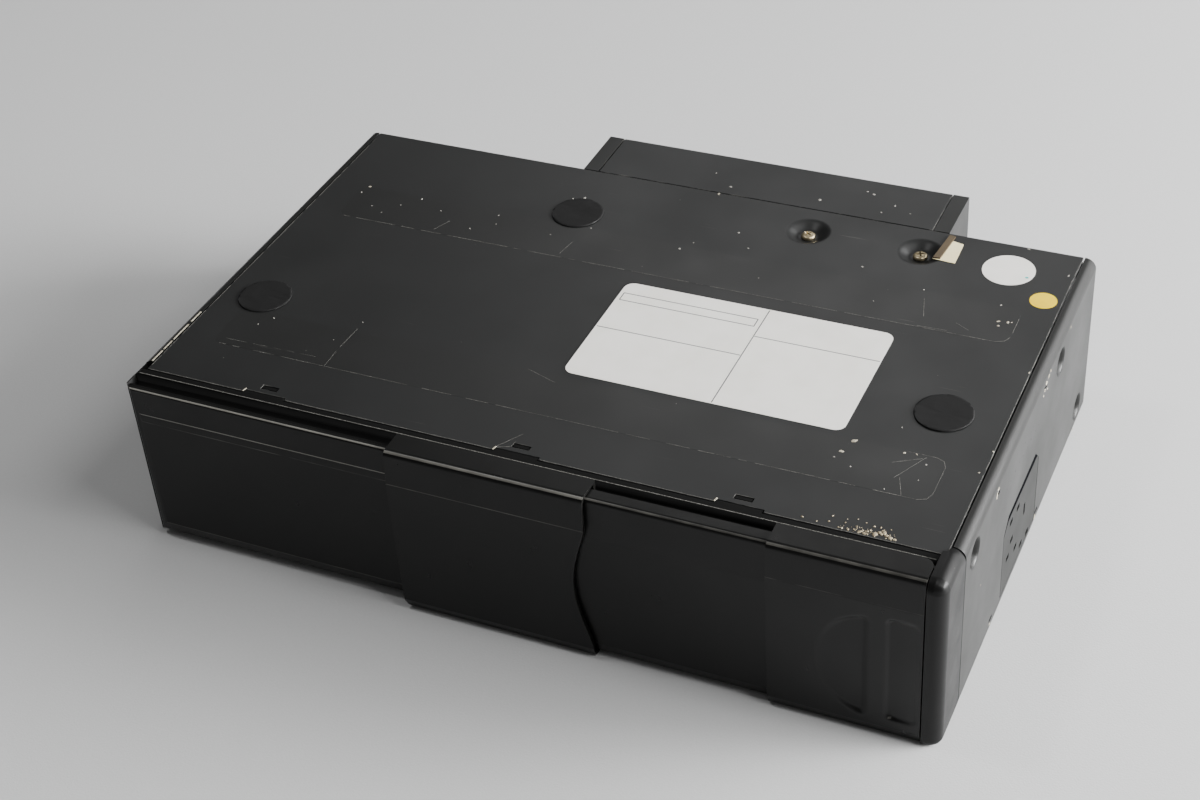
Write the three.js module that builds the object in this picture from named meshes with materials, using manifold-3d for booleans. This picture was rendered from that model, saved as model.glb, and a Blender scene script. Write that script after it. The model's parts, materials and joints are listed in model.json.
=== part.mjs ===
// A compact six-disc car CD changer, lying on its top cover with its base plate up.
// Millimetres, +Z up, the sliding door towards -Y. Heights start at the surface that it lies on,
// and distances along Y start at the front edge of the base plate.
import * as THREE from 'three';
import { mergeVertices } from 'three/addons/utils/BufferGeometryUtils.js';
import Module from 'manifold-3d';

const wasm = await Module();
wasm.setup();

// Body
const bodyWidth = 255;
const bodyHeight = 57.1;
const bodyDepth = 145.8;
const sheet = 1;
const shellTopRadius = 3.5;
const shellBottomRadius = 2.5;
const rolledEdge = 3.6;
const seamGap = 0.5;

// Clearances
const seatGap = 0.1;
const fitGap = 0.3;
const holeGap = 0.4;
const slideGap = 0.25;
const overrun = 1;

// Base plate
const plateLipDrop = 12;
const plateLipFront = 9;
const plateLipEnd = 9.8;
const hookLeft = -82.7;
const hookMiddle = -0.5;
const hookRight = 66;
const hookNotchWidth = 13.9;
const hookNotchDepth = 1.1;
const hookSlotWidth = 5.4;
const hookSlotDepth = 1.8;
const hookSlotBack = 2.9;
const plateDimpleLeft = 38.6;
const plateDimpleRight = 75.4;
const plateDimpleEnd = 12.6;
const plateDimpleRadius = 6.2;
const plateDimpleFloor = 2.4;
const plateDimpleDrop = 2.2;
const capRadius = 8.6;
const capThickness = 0.35;
const capHoleRadius = 3.5;
const leftCapSide = 14.2;
const leftCapBack = 44.8;
const middleCapAcross = -35.8;
const middleCapEnd = 25.9;
const rightCapSide = 17.8;
const rightCapBack = 57;

// Side features
const frontScrewBack = 12.8;
const frontScrewDrop = 8.7;
const rearScrewEnd = 41.8;
const rearScrewDrop = 9.7;
const lowScrewEnd = 10.8;
const lowScrewUp = 8.1;
const sideDimpleRadius = 4.2;
const sideDimpleFloor = 2.6;
const sideDimpleDrop = 2.8;
const lanceFront = 35.1;
const lanceRear = 85.4;
const lanceLow = 4.9;
const lanceDrop = 5.8;
const lanceLength = 3;
const lanceHeight = 1.1;
const windowFront = 45.2;
const windowRear = 83.6;
const windowLow = 3.8;
const windowHigh = 31.6;
const windowChamfer = 4.4;

// Screws
const screwShank = 1.2;
const screwHeadRadius = 2.3;
const screwHeadHeight = 1.3;
const screwEdge = 0.4;
const screwSideLength = 3.3;
const screwPlateLength = 7;

// Rear box and rear wall
const boxLeft = -45.4;
const boxRight = 81;
const boxDepth = 22.6;
const boxLow = 14;
const boxFlange = 5.2;
const rearWallFloor = 1.3;
const rearTabDepth = 16;
const rearTabHeight = 11;
const socketPlace = 32;
const socketHeight = 33;
const socketWide = 24;
const socketTall = 14;
const socketDeep = 12.4;
const socketWall = 2;
const socketFloor = 3;
const socketFlange = 2;
const socketFlangeThick = 1.6;
const pinSize = 0.8;
const pinReach = 5;
const pinColumns = 5;
const socketPinSpacing = 3.6;
const pinRow = 2.4;

// Front skins, one over the other: fixed panel, grip door, middle cover
const coverProud = 14.3;
const coverRise = 1.9;
const coverFloorGap = 0.1;
const coverWall = 1.2;
const coverFlange = 0.8;
const coverCorner = 2;
const skinGap = 0.4;
const doorWall = 1.3;
const doorFlange = 0.7;
const doorCorner = 1.5;
const panelGap = 0.5;
const panelWall = 1.3;
const panelFlange = 0.8;
const panelReturn = 0.7;
const panelCorner = 1.2;
const bandSlant = 0.7;
const innerCornerShare = 0.6;
const bandLow = 4;
const coverBand = 11;
const doorBand = 13.2;
const panelBand = 8.4;

// Places along the front
const coverBeyond = 24.3;
const coverWidth = 61.3;
const coverCornerCut = 3;
const waveDepth = 4.5;
const waveLow = 5;
const waveDrop = 9.1;
const waveSteps = 12;
const wavePower = 1.2;
const doorUnderlap = 11;
const gripWidth = 43.4;
const panelUnderlap = 18;
const panelLeftInset = 0.7;
const panelEndRadius = 3;
const scoopSide = 14.7;
const scoopWidth = 13.8;
const scoopMiddle = 23.8;
const scoopHalfHeight = 17.2;
const scoopDepth = 1.8;
const scoopRiseShare = 0.62;
const recessSide = 9.5;
const recessWidth = 7.9;
const recessLow = 6.8;
const recessDrop = 14.1;
const recessShallow = 0.5;
const recessCorner = 1.6;

// Front bezel
const bezelSeam = 3.5;
const bezelPlateGap = 0.4;
const ridgeWall = 2.2;
const coverGroove = 3.6;
const coverLipWall = 1.1;
const coverLipPlay = 0.4;
const ribWall = 0.9;
const doorGroove = 1.6;
const doorLipWall = 1;
const railClear = 0.7;
const grooveDepth = 1.5;
const lipClear = 0.6;
const railSlab = 1.2;
const panelSeat = 0.2;
const slotWall = 1.2;
const slotSide = 1.2;
const slotHeightPlay = 0.8;
const stiffeners = 5;
const stiffenerSide = 15.5;
const stiffenerEnd = 21;
const endWall = 1.6;
const capWidth = 5.3;
const capRound = 4;
const tongueThickness = 1.5;
const tongueReach = 6.2;
const tonguePlay = 0.3;
const tongueClear = 0.2;

// Eject button and its switch board
const buttonSide = 21;
const buttonWidth = 16;
const buttonDrop = 10.9;
const buttonTall = 4.6;
const buttonProud = 1.2;
const buttonCorner = 1;
const buttonFlange = 0.6;
const buttonFlangeThick = 1;
const buttonStem = 1.6;
const buttonTravel = 2.4;
const switchBoardThick = 1.2;
const switchBoardPost = 1.5;
const switchBody = 2.6;
const switchPlungerRadius = 1.1;
const switchPlungerReach = 0.5;
const switchHole = 2.6;
const switchBoardHalf = 3.4;
const switchClear = 0.4;

// Magazine and trays
const mechanismRoom = 116.5;
const magazineSide = 8.5;
const magazineFront = -6;
const magazineEnd = 9.8;
const magazineLow = 10;
const magazineDrop = 13.8;
const magazineSkin = 1.5;
const magazineHead = 9.4;
const magazineRearWall = 1.2;
const magazineGripRibs = 7;
const magazineGripRibWide = 1.4;
const magazineGripRibProud = 0.8;
const magazineGripSpacing = 3;
const magazineGripMargin = 5;
const trayCount = 6;
const shelf = 0.9;
const shelfReach = 4;
const trayPlay = 0.95;
const trayLedge = 1;
const trayInset = 0.7;
const trayFrontInset = 0.9;
const trayRearInset = 1.7;
const trayCorner = 3;
const trayRim = 1;
const traySlotHalf = 20;

// Magazine cradle and eject pusher
const cradleFront = 4;
const cradleEnd = 5.8;
const cradleWallRise = 1.2;
const cradleSide = 1;
const cradlePost = 3;
const cradlePostInset = 14;
const cradlePostFar = 28;
const cradleStopBeyond = 31;
const cradleStopInset = 19;
const cradleStopHigh = 34;
const pusherWide = 16;
const pusherTall = 16;
const pusherThick = 2;
const pusherStem = 2;
const pusherStemEnd = 1.6;
const pusherHeight = 26;

// Mechanism base, dampers and brackets
const baseLow = 2.2;
const baseFront = 5;
const baseEnd = 3.8;
const baseSideGap = 3.6;
const baseFlangeFront = 46;
const baseFlangeRear = 81;
const baseFlangeHigh = 30;
const baseWindowSide = 42.5;
const baseWindowGap = 19;
const baseWindowFront = 30;
const baseWindowEnd = 27.8;
const bayWindowBeyond = 23;
const bayWindowInset = 19;
const damperSide = 15.5;
const damperFront = 24;
const damperEnd = 25.8;
const damperRadius = 5.5;
const damperNeck = 3.5;
const damperTop = 8.1;
const damperTaper = 1;
const bracketFront = 7;
const bracketEnd = 9.2;
const bracketSide = 6.5;
const bracketDrop = 7.1;
const bracketFoot = 5;
const bracketWindowInset = 12;
const bracketWindowLow = 12;
const bracketWindowDrop = 6;

// Lift: plates with slanted slots, racks, shaft, pinions and motor
const toothSize = 0.8;
const liftTeeth = 12;
const motorTeeth = 10;
const pressureDegrees = 20;
const addendumShare = 0.75;
const rackAddendumShare = 0.7;
const dedendumShare = 1.25;
const gearBacklash = 0.18;
const flankSteps = 2;
const liftPlateGap = 0.8;
const liftPlateSide = 4.5;
const liftPlateBeyond = 4;
const liftPlateMargin = 3.2;
const pinLeftInset = 24;
const pinRightInset = 18;
const pinRadius = 1.5;
const pinPlay = 0.4;
const shaftSide = 37.5;
const shaftHeight = 9.2;
const shaftRadius = 1.5;
const pinionWide = 1.6;
const driveGearFront = 18.2;
const driveGearWide = 4;
const rackSpareTeeth = 2;
const rackLast = 1;
const liftMotorRadius = 4.2;
const liftMotorFront = 24;
const liftMotorLength = 20;
const liftMotorFoot = 3.2;
const motorShaft = 1;
const motorShaftIn = 3;

// Playing deck
const deckSide = 9.5;
const deckMagazineGap = 13;
const deckFront = 8.6;
const deckBracketGap = 0.6;
const deckSheet = 1.5;
const deckFlange = 5;
const deckAboveDisc = 4.5;
const spindleBeyond = 24;
const platterRadius = 14;
const platterThick = 1.6;
const platterLift = 0.15;
const hubRadius = 7.2;
const hubReach = 2.2;
const hubTaper = 1.2;
const spindleShaft = 1.2;
const spindleMotorRadius = 11;
const spindleMotorHeight = 6.6;
const lensNear = 25;
const sledStop = 2.6;
const sledFrontPart = 12;
const sledRearPart = 5;
const sledHalf = 12;
const sledDrop = 1.45;
const sledRise = 4.95;
const armFrontPart = 8;
const armRearPart = 4;
const armRise = 4.45;
const armBeyond = 2.9;
const sledWindowPlay = 1;
const lensRadius = 3.4;
const lensTurret = 0.6;
const lensDome = 0.5;
const lensShoulder = 0.1;
const rodRadius = 1.5;
const rodAcross = 18;
const rodRise = 1.95;
const rodPostWide = 5;
const rodPostRise = 4.05;
const rodPostBehind = 7.3;
const rodPostFrontWide = 3;
const rodPostRearWide = 1.7;
const sledMotorRadius = 5;
const sledMotorLength = 16.4;
const clampArmHalf = 8;
const clampArmThick = 1;
const clampArmDrop = 4.45;
const clampArmReach = 9.7;
const clampHingeInset = 1.1;
const clampBarrel = 1.35;
const clampStub = 0.9;
const clampStubLength = 2.2;
const clampBarrelBeyond = 2.1;
const earThick = 2.5;
const earDeep = 2.5;
const earDrop = 1.8;
const puckRadius = 11;
const puckCup = 8;
const puckRim = 1.5;
const puckFloor = 0.5;
const puckStub = 2;
const puckGap = 0.25;
const pullerInset = 14;
const pullerWide = 13;
const pullerFront = 10.5;
const pullerDeep = 6.5;
const pullerThick = 1.4;
const pullerNeck = 2.4;
const pullerFinger = 1.8;
const pullerFingerDrop = 2.6;
const pullerStop = 8;
const loadMotorRadius = 5;
const loadMotorLength = 22;
const loadMotorFront = 34;
const loadMotorSide = 17.5;

// Angle plates and selector wheels
const anglePlateMargin = 1.8;
const anglePlateThick = 1.1;
const selectorBack = 63.5;
const selectorHeight = 16.5;
const selectorRing = 9;
const selectorSlots = 8;
const selectorSlotLong = 2.6;
const selectorSlotWide = 1;
const selectorBarBack = 48.4;
const selectorBarLong = 7;
const selectorWheel = 11.5;
const selectorThick = 1.6;
const selectorTeeth = 8;
const selectorNotch = 1.6;
const selectorStub = 2;

// Main circuit board
const boardBeyond = 5;
const boardSide = 9.5;
const boardFront = 14;
const boardEnd = 15.8;
const boardDrop = 10.5;
const boardThick = 1.6;
const boardPost = 2.6;
const boardPostInset = 6;
const chipHigh = 2.2;
const chipSize = 18;
const chipShift = 2;
const chipBack = 40;
const chipSideways = 36;
const chipBehind = 50;
const capacitorHigh = 6.5;
const capacitorRadius = 4;
const capacitors = 3;
const capacitorInset = 22;
const capacitorBack = 26;
const capacitorSpacing = 12.4;
const headerWide = 34;
const headerDeep = 6;
const headerHigh = 5;

// Smoothness
const cornerSteps = 3;
const roundSides = 12;
const fineSides = 24;
const dimpleSides = 16;

// Worked out from the sizes above
const halfWidth = bodyWidth / 2;
const plateHalf = halfWidth - rolledEdge - seamGap;
const plateUnder = bodyHeight - sheet;
const plateLipRear = bodyDepth - plateLipEnd;
const plateDimpleBack = bodyDepth - plateDimpleEnd;
const shellInner = halfWidth - sheet;
const boxRear = bodyDepth + boxDepth;
const coverFront = -coverProud;
const doorFront = coverFront + coverWall + skinGap;
const panelFront = doorFront + doorWall + panelGap;
const bezelFront = panelFront + panelWall + panelSeat;
const bezelRear = -bezelPlateGap;
const ridgeFront = bezelRear - ridgeWall;
const ribRear = ridgeFront - coverGroove;
const ribFront = ribRear - ribWall;
const railRear = ribFront - doorGroove;
const coverLipRear = ribRear + coverLipPlay + coverLipWall;
const doorLipRear = ribFront - fitGap;
const coverTop = bodyHeight + coverRise;
const middleHeight = (coverTop + coverFloorGap) / 2;
const coverHalf = coverTop - middleHeight;
const doorHalf = coverHalf - coverFlange - slideGap;
const panelHalf = doorHalf - doorFlange - slideGap;
const railHalf = panelHalf - panelFlange - railClear;
const grooveHalf = railHalf - grooveDepth;
const slabHalf = grooveHalf - railSlab;
const lipHalf = grooveHalf + lipClear;
const ridgeHalf = bodyHeight - middleHeight;
const magazineLeft = mechanismRoom - halfWidth;
const magazineRight = halfWidth - magazineSide;
const magazineMiddle = (magazineLeft + magazineRight) / 2;
const magazineRear = bodyDepth - magazineEnd;
const magazineHigh = bodyHeight - magazineDrop;
const trayPitch = (magazineHigh - magazineLow - 2 * magazineSkin) / trayCount;
const trayThickness = trayPitch - shelf - trayPlay;
const trayFront = magazineHead + trayFrontInset;
const trayRear = magazineRear - magazineRearWall - trayRearInset;
const trayLeft = magazineLeft + trayInset;
const trayRight = magazineRight - magazineSkin - trayInset;
const discBack = (trayFront + trayRear) / 2;
const discAcross = (trayLeft + trayRight) / 2;
const discPocket = Math.min(trayRear - trayFront, trayRight - trayLeft) / 2 - trayRim;
const trayLow = magazineLow + magazineSkin + shelf / 2 + fitGap;
const discTop = trayLow + trayThickness - trayLedge;
const pinHeight = discTop + deckAboveDisc - platterLift;
const liftTravel = trayPitch * (trayCount - 1);
const deckLow = pinHeight - deckSheet / 2;
const deckHigh = pinHeight + deckSheet / 2;
const baseHigh = baseLow + sheet;
const baseRear = bodyDepth - baseEnd;
const cradleRear = bodyDepth - cradleEnd;
const damperAcross = halfWidth - damperSide;
const coverLeft = magazineLeft - coverBeyond;
const coverRight = coverLeft + coverWidth;
const waveHigh = bodyHeight - waveDrop;
const doorLeft = coverRight - doorUnderlap;
const panelRight = coverLeft + panelUnderlap;
const capLeft = halfWidth - capWidth;
const gripRight = capLeft - fitGap;
const gripLeft = gripRight - gripWidth;
const buttonLeft = magazineRight - buttonSide;
const buttonLow = bodyHeight - buttonDrop;
const bracketRear = bodyDepth - bracketEnd;
const bracketLeft = bracketSide - halfWidth;
const bracketHigh = bodyHeight - bracketDrop;
const deckLeft = deckSide - halfWidth;
const deckRight = magazineLeft - deckMagazineGap;
const deckRear = bracketRear - deckBracketGap;
const pinLeft = deckLeft + pinLeftInset;
const pinRight = deckRight - pinRightInset;
const shaftPlace = shaftSide - halfWidth;
const spindlePlace = shaftPlace + spindleBeyond;
const lensStart = discBack + lensNear;
const sledLow = deckLow - sledDrop;
const rodHeight = deckHigh + rodRise;
const rodPostFront = discBack + rodPostBehind;
const rodPostRear = deckRear - rodPostRearWide;
const sledTravel = rodPostRear - lensStart - sledRearPart - sledStop;
const pullerLeft = deckRight - pullerInset;
const boardLeft = magazineLeft + boardBeyond;
const boardRight = halfWidth - boardSide;
const boardRear = bodyDepth - boardEnd;
const boardLow = bodyHeight - boardDrop;

// Places in groups
const sideScrewPlaces = {
  front: [frontScrewBack, bodyHeight - frontScrewDrop],
  rear: [bodyDepth - rearScrewEnd, bodyHeight - rearScrewDrop],
  low: [bodyDepth - lowScrewEnd, lowScrewUp],
};
const capPlaces = {
  left: [leftCapSide - plateHalf, leftCapBack],
  middle: [middleCapAcross, bodyDepth - middleCapEnd],
  right: [plateHalf - rightCapSide, rightCapBack],
};
const lancePlaces = [lanceFront, lanceRear]
  .flatMap((back) => [[back, lanceLow], [back, bodyHeight - lanceDrop]]);
const stiffenerSpacing = (magazineLeft - stiffenerEnd - stiffenerSide + halfWidth) / (stiffeners - 1);
const stiffenerPlaces = Array.from({ length: stiffeners },
  (_, i) => stiffenerSide - halfWidth + i * stiffenerSpacing);
const damperPlaces = { front: damperFront, rear: bodyDepth - damperEnd };
const pinPlaces = [pinLeft, pinRight];

// Turns a closed geometry into a solid that can be cut and joined
function toSolid(geometry) {
  const bare = geometry.clone();
  bare.deleteAttribute('normal');
  bare.deleteAttribute('uv');
  const merged = mergeVertices(bare);
  const corners = [];
  for (let i = 0; i < merged.index.count; i += 3) {
    const [a, b, c] = [0, 1, 2].map((k) => merged.index.getX(i + k));
    if (a !== b && b !== c && c !== a) corners.push(a, b, c);
  }
  const triVerts = Uint32Array.from(corners);
  return new wasm.Manifold(new wasm.Mesh({
    numProp: 3,
    vertProperties: merged.attributes.position.array,
    triVerts,
  }));
}

// Turns a solid back into a geometry
function toGeometry(solid) {
  const mesh = solid.getMesh();
  const geometry = new THREE.BufferGeometry();
  geometry.setAttribute('position', new THREE.BufferAttribute(mesh.vertProperties, mesh.numProp));
  geometry.setIndex(new THREE.BufferAttribute(mesh.triVerts, 1));
  return geometry;
}

const join = (...solids) => solids.reduce((whole, next) => whole.add(next));
const cut = (whole, ...cuts) => cuts.reduce((rest, next) => rest.subtract(next), whole);

// Points of an arc about a centre, both ends included
function arcPoints(across, up, radius, fromAngle, toAngle, steps = cornerSteps) {
  if (radius === 0) return [[across, up]];
  return Array.from({ length: steps + 1 }, (_, i) => {
    const angle = fromAngle + (toAngle - fromAngle) * i / steps;
    return [across + radius * Math.cos(angle), up + radius * Math.sin(angle)];
  });
}

function outline(points) {
  return new THREE.Shape(points.map(([across, up]) => new THREE.Vector2(across, up)));
}

// A rectangle with its own radius at each corner, from the low left one round
function roundedPoints(left, right, low, high, radii) {
  const [r0, r1, r2, r3] = radii;
  return [
    ...arcPoints(left + r0, low + r0, r0, Math.PI, 1.5 * Math.PI),
    ...arcPoints(right - r1, low + r1, r1, 1.5 * Math.PI, 2 * Math.PI),
    ...arcPoints(right - r2, high - r2, r2, 0, Math.PI / 2),
    ...arcPoints(left + r3, high - r3, r3, Math.PI / 2, Math.PI),
  ];
}

const evenlyRounded = (left, right, low, high, radius) =>
  roundedPoints(left, right, low, high, [radius, radius, radius, radius]);

function extruded(points, length) {
  return new THREE.ExtrudeGeometry(outline(points), { depth: length, bevelEnabled: false });
}

// Extrusions of an outline: in Y and Z along X, in X and Z along Y, and in X and Y along Z
function alongX(points, from, to) {
  const turn = new THREE.Matrix4().makeBasis(
    new THREE.Vector3(0, 1, 0), new THREE.Vector3(0, 0, 1), new THREE.Vector3(1, 0, 0));
  return toSolid(extruded(points, to - from).applyMatrix4(turn).translate(from, 0, 0));
}

function alongY(points, from, to) {
  const turn = new THREE.Matrix4().makeBasis(
    new THREE.Vector3(1, 0, 0), new THREE.Vector3(0, 0, 1), new THREE.Vector3(0, -1, 0));
  return toSolid(extruded(points, to - from).applyMatrix4(turn).translate(0, to, 0));
}

function alongZ(points, from, to) {
  return toSolid(extruded(points, to - from).translate(0, 0, from));
}

function block(left, right, front, rear, low, high) {
  const geometry = new THREE.BoxGeometry(right - left, rear - front, high - low);
  return toSolid(geometry.translate((left + right) / 2, (front + rear) / 2, (low + high) / 2));
}

// A turned solid about Z, from a profile of radius and height that starts and ends on the axis
function turned(profile, sides = roundSides) {
  const points = profile.map(([radius, up]) => new THREE.Vector2(radius, up));
  return toSolid(new THREE.LatheGeometry(points, sides).rotateX(Math.PI / 2));
}

// A turned geometry about an axis through a point, the profile's height running along the axis
function turnedAlong(axis, place, profile, sides = roundSides) {
  const points = profile.map(([radius, up]) => new THREE.Vector2(radius, up));
  const geometry = new THREE.LatheGeometry(points, sides);
  if (axis === 'x') geometry.rotateZ(-Math.PI / 2);
  if (axis === 'z') geometry.rotateX(Math.PI / 2);
  return toSolid(geometry.translate(...place));
}

const rodProfile = (radius, from, to) => [[0, from], [radius, from], [radius, to], [0, to]];

function rodX(radius, from, to, back, up, sides = roundSides) {
  return turnedAlong('x', [0, back, up], rodProfile(radius, from, to), sides);
}

function rodY(radius, from, to, across, up, sides = roundSides) {
  return turnedAlong('y', [across, 0, up], rodProfile(radius, from, to), sides);
}

function rodZ(radius, from, to, across, back, sides = roundSides) {
  return turnedAlong('z', [across, back, 0], rodProfile(radius, from, to), sides);
}

// The two ends, in rising order, of a span between two distances from the middle on one side
function sideways(side, inner, outer) {
  return side < 0 ? [-outer, -inner] : [inner, outer];
}

const materials = {
  shell: new THREE.MeshStandardMaterial({ color: 0x3c3d3c, roughness: 0.45, metalness: 0.6 }),
  plate: new THREE.MeshStandardMaterial({ color: 0x3a3c3b, roughness: 0.5, metalness: 0.5 }),
  bezel: new THREE.MeshStandardMaterial({ color: 0x232323, roughness: 0.55, metalness: 0 }),
  skin: new THREE.MeshStandardMaterial({ color: 0x202020, roughness: 0.6, metalness: 0 }),
  cap: new THREE.MeshStandardMaterial({ color: 0x1c1d1d, roughness: 0.8, metalness: 0 }),
  zinc: new THREE.MeshStandardMaterial({ color: 0xb3ab98, roughness: 0.35, metalness: 0.9 }),
  steel: new THREE.MeshStandardMaterial({ color: 0xa8acb0, roughness: 0.4, metalness: 0.9 }),
  nylon: new THREE.MeshStandardMaterial({ color: 0xe6e2d6, roughness: 0.6, metalness: 0 }),
  dark: new THREE.MeshStandardMaterial({ color: 0x2a2b2d, roughness: 0.6, metalness: 0 }),
  rubber: new THREE.MeshStandardMaterial({ color: 0x1a1a1a, roughness: 0.9, metalness: 0 }),
  board: new THREE.MeshStandardMaterial({ color: 0x1f5a37, roughness: 0.6, metalness: 0 }),
};

function piece(name, solid, material) {
  const mesh = new THREE.Mesh(toGeometry(solid), materials[material]);
  mesh.name = name;
  return mesh;
}

function group(...members) {
  const bundle = new THREE.Group();
  bundle.add(...members);
  return bundle;
}

// A pressed dimple about Z in a sheet whose top is at zero: the bump to add and the hollow to cut
function dimple(rim, floor, drop, hole) {
  const under = -drop - sheet;
  const bump = turned([[0, under], [floor + sheet / 2, under], [rim, -sheet], [rim, -sheet / 2],
    [0, -sheet / 2]], dimpleSides);
  const hollow = turned([[0, -drop], [floor, -drop], [rim, 0], [rim, overrun], [0, overrun]], dimpleSides);
  const shankHole = turned(rodProfile(hole, under - overrun, overrun));
  return { bump, cuts: hollow.add(shankHole) };
}

// Turns a solid made about Z so that its top faces along +X or -X, and puts it at a place on that side
function ontoSide(solid, side, back, up) {
  return solid.rotate([0, side * 90, 0]).translate([side * halfWidth, back, up]);
}

// A pan-head screw about Z, its head standing on a floor at zero
function screwSolid(length) {
  return turned([[0, -length], [screwShank, -length], [screwShank, 0], [screwHeadRadius, 0],
    [screwHeadRadius, screwHeadHeight - screwEdge], [screwHeadRadius - screwEdge, screwHeadHeight],
    [0, screwHeadHeight]]);
}

// Housing shell: a U of sheet with rolled top edges, windows, lances and screw dimples
function shellSection(inset) {
  const low = inset;
  const right = halfWidth - inset;
  const topRadius = shellTopRadius - inset;
  const lowRadius = shellBottomRadius - inset;
  const tip = halfWidth - rolledEdge;
  const half = [
    ...arcPoints(right - lowRadius, low + lowRadius, lowRadius, 1.5 * Math.PI, 2 * Math.PI),
    ...arcPoints(right - topRadius, bodyHeight - inset - topRadius, topRadius, 0, Math.PI / 2),
    [tip, bodyHeight - inset],
  ];
  return half;
}

function housingShell() {
  const outer = shellSection(0);
  const inner = shellSection(sheet);
  const mirrored = (points) => points.map(([across, up]) => [-across, up]).reverse();
  const section = [...outer, ...[...inner].reverse(), ...mirrored(inner).reverse(), ...mirrored(outer)];
  let shell = alongY(section, bezelSeam + fitGap, bodyDepth);
  const window = [
    [windowFront, windowLow], [windowRear, windowLow], [windowRear, windowHigh - windowChamfer],
    [windowRear - windowChamfer, windowHigh], [windowFront + windowChamfer, windowHigh],
    [windowFront, windowHigh - windowChamfer],
  ];
  for (const side of [-1, 1]) {
    const press = dimple(sideDimpleRadius, sideDimpleFloor, sideDimpleDrop, screwShank + holeGap);
    for (const [back, up] of Object.values(sideScrewPlaces)) {
      shell = cut(join(shell, ontoSide(press.bump, side, back, up)), ontoSide(press.cuts, side, back, up));
    }
    const [from, to] = sideways(side, shellInner - overrun, halfWidth + overrun);
    shell = cut(shell, alongX(window, from, to));
    for (const [back, up] of lancePlaces) {
      shell = cut(shell, block(from, to, back - lanceLength / 2, back + lanceLength / 2,
        up - lanceHeight / 2, up + lanceHeight / 2));
    }
  }
  return piece('housing_shell', shell, 'shell');
}

function sideScrews() {
  const names = Object.keys(sideScrewPlaces);
  const meshes = [];
  for (const [word, side] of [['left', -1], ['right', 1]]) {
    for (const name of names) {
      const [back, up] = sideScrewPlaces[name];
      const seated = screwSolid(screwSideLength).translate([0, 0, -sideDimpleDrop + seatGap]);
      meshes.push(piece(`${word}_${name}_screw`, ontoSide(seated, side, back, up), 'zinc'));
    }
  }
  return meshes;
}

// Base plate: let in between the rolled edges, with side lips, hook slots and dimples
function basePlate() {
  const lipLow = plateUnder - plateLipDrop;
  let plate = block(-plateHalf, plateHalf, 0, bodyDepth, plateUnder, bodyHeight);
  for (const side of [-1, 1]) {
    const [from, to] = sideways(side, plateHalf - sheet, plateHalf);
    plate = join(plate, block(from, to, plateLipFront, plateLipRear, lipLow, bodyHeight - sheet / 2));
    for (const [back, up] of [sideScrewPlaces.front, sideScrewPlaces.rear]) {
      plate = cut(plate, rodX(screwShank + holeGap, from - overrun, to + overrun, back, up));
    }
  }
  for (const place of [hookLeft, hookMiddle, hookRight]) {
    plate = cut(plate,
      block(place - hookNotchWidth / 2, place + hookNotchWidth / 2, -overrun, hookNotchDepth,
        plateUnder - overrun, bodyHeight + overrun),
      block(place - hookSlotWidth / 2, place + hookSlotWidth / 2, hookSlotBack, hookSlotBack + hookSlotDepth,
        plateUnder - overrun, bodyHeight + overrun));
  }
  const press = dimple(plateDimpleRadius, plateDimpleFloor, plateDimpleDrop, screwShank + holeGap);
  for (const place of [plateDimpleLeft, plateDimpleRight]) {
    const spot = [place, plateDimpleBack, bodyHeight];
    plate = cut(join(plate, press.bump.translate(spot)), press.cuts.translate(spot));
  }
  for (const [across, back] of Object.values(capPlaces)) {
    plate = cut(plate, rodZ(capHoleRadius, plateUnder - overrun, bodyHeight + overrun, across, back));
  }
  return piece('base_plate', plate, 'plate');
}

function plateScrews() {
  return [['left', plateDimpleLeft], ['right', plateDimpleRight]].map(([word, place]) => {
    const seated = screwSolid(screwPlateLength)
      .translate([place, plateDimpleBack, bodyHeight - plateDimpleDrop + seatGap]);
    return piece(`${word}_plate_screw`, seated, 'zinc');
  });
}

function adhesiveCaps() {
  const low = bodyHeight + seatGap;
  return Object.entries(capPlaces).map(([word, [across, back]]) => piece(`${word}_adhesive_cap`,
    rodZ(capRadius, low, low + capThickness, across, back, fineSides), 'cap'));
}

// Rear wall, and the box behind it with its lid and socket
function rearWall() {
  const front = bodyDepth - sheet - fitGap;
  const high = plateUnder - fitGap;
  let wall = block(-plateHalf, plateHalf, front, front + sheet, rearWallFloor, high);
  for (const side of [-1, 1]) {
    const [from, to] = sideways(side, plateHalf - sheet, plateHalf);
    const [back, up] = sideScrewPlaces.low;
    wall = join(wall, block(from, to, front - rearTabDepth, front + sheet / 2, baseHigh + fitGap,
      baseHigh + fitGap + rearTabHeight));
    wall = cut(wall, rodX(screwShank + holeGap, from - overrun, to + overrun, back, up));
  }
  const opening = block(boxLeft + boxFlange, boxRight - boxFlange, front - overrun, bodyDepth + overrun,
    boxLow + boxFlange, high - boxFlange);
  return piece('rear_wall', cut(wall, opening), 'plate');
}

function rearBox() {
  const front = bodyDepth + fitGap;
  const outer = block(boxLeft, boxRight, front, boxRear, boxLow, bodyHeight);
  const hollow = block(boxLeft + sheet, boxRight - sheet, front - overrun, boxRear - sheet, boxLow + sheet,
    plateUnder);
  const lidSeat = block(boxLeft + boxFlange, boxRight - boxFlange, front - overrun, boxRear + overrun,
    plateUnder - seatGap, bodyHeight + overrun);
  const socketHole = block(socketPlace - socketWide / 2 - fitGap, socketPlace + socketWide / 2 + fitGap,
    boxRear - sheet - overrun, boxRear + overrun, socketHeight - socketTall / 2 - fitGap,
    socketHeight + socketTall / 2 + fitGap);
  return piece('rear_box', cut(outer, hollow, lidSeat, socketHole), 'shell');
}

function rearBoxLid() {
  const lid = block(boxLeft + boxFlange + fitGap, boxRight - boxFlange - fitGap, bodyDepth + fitGap, boxRear,
    plateUnder, bodyHeight);
  return piece('rear_box_lid', lid, 'plate');
}

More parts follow.
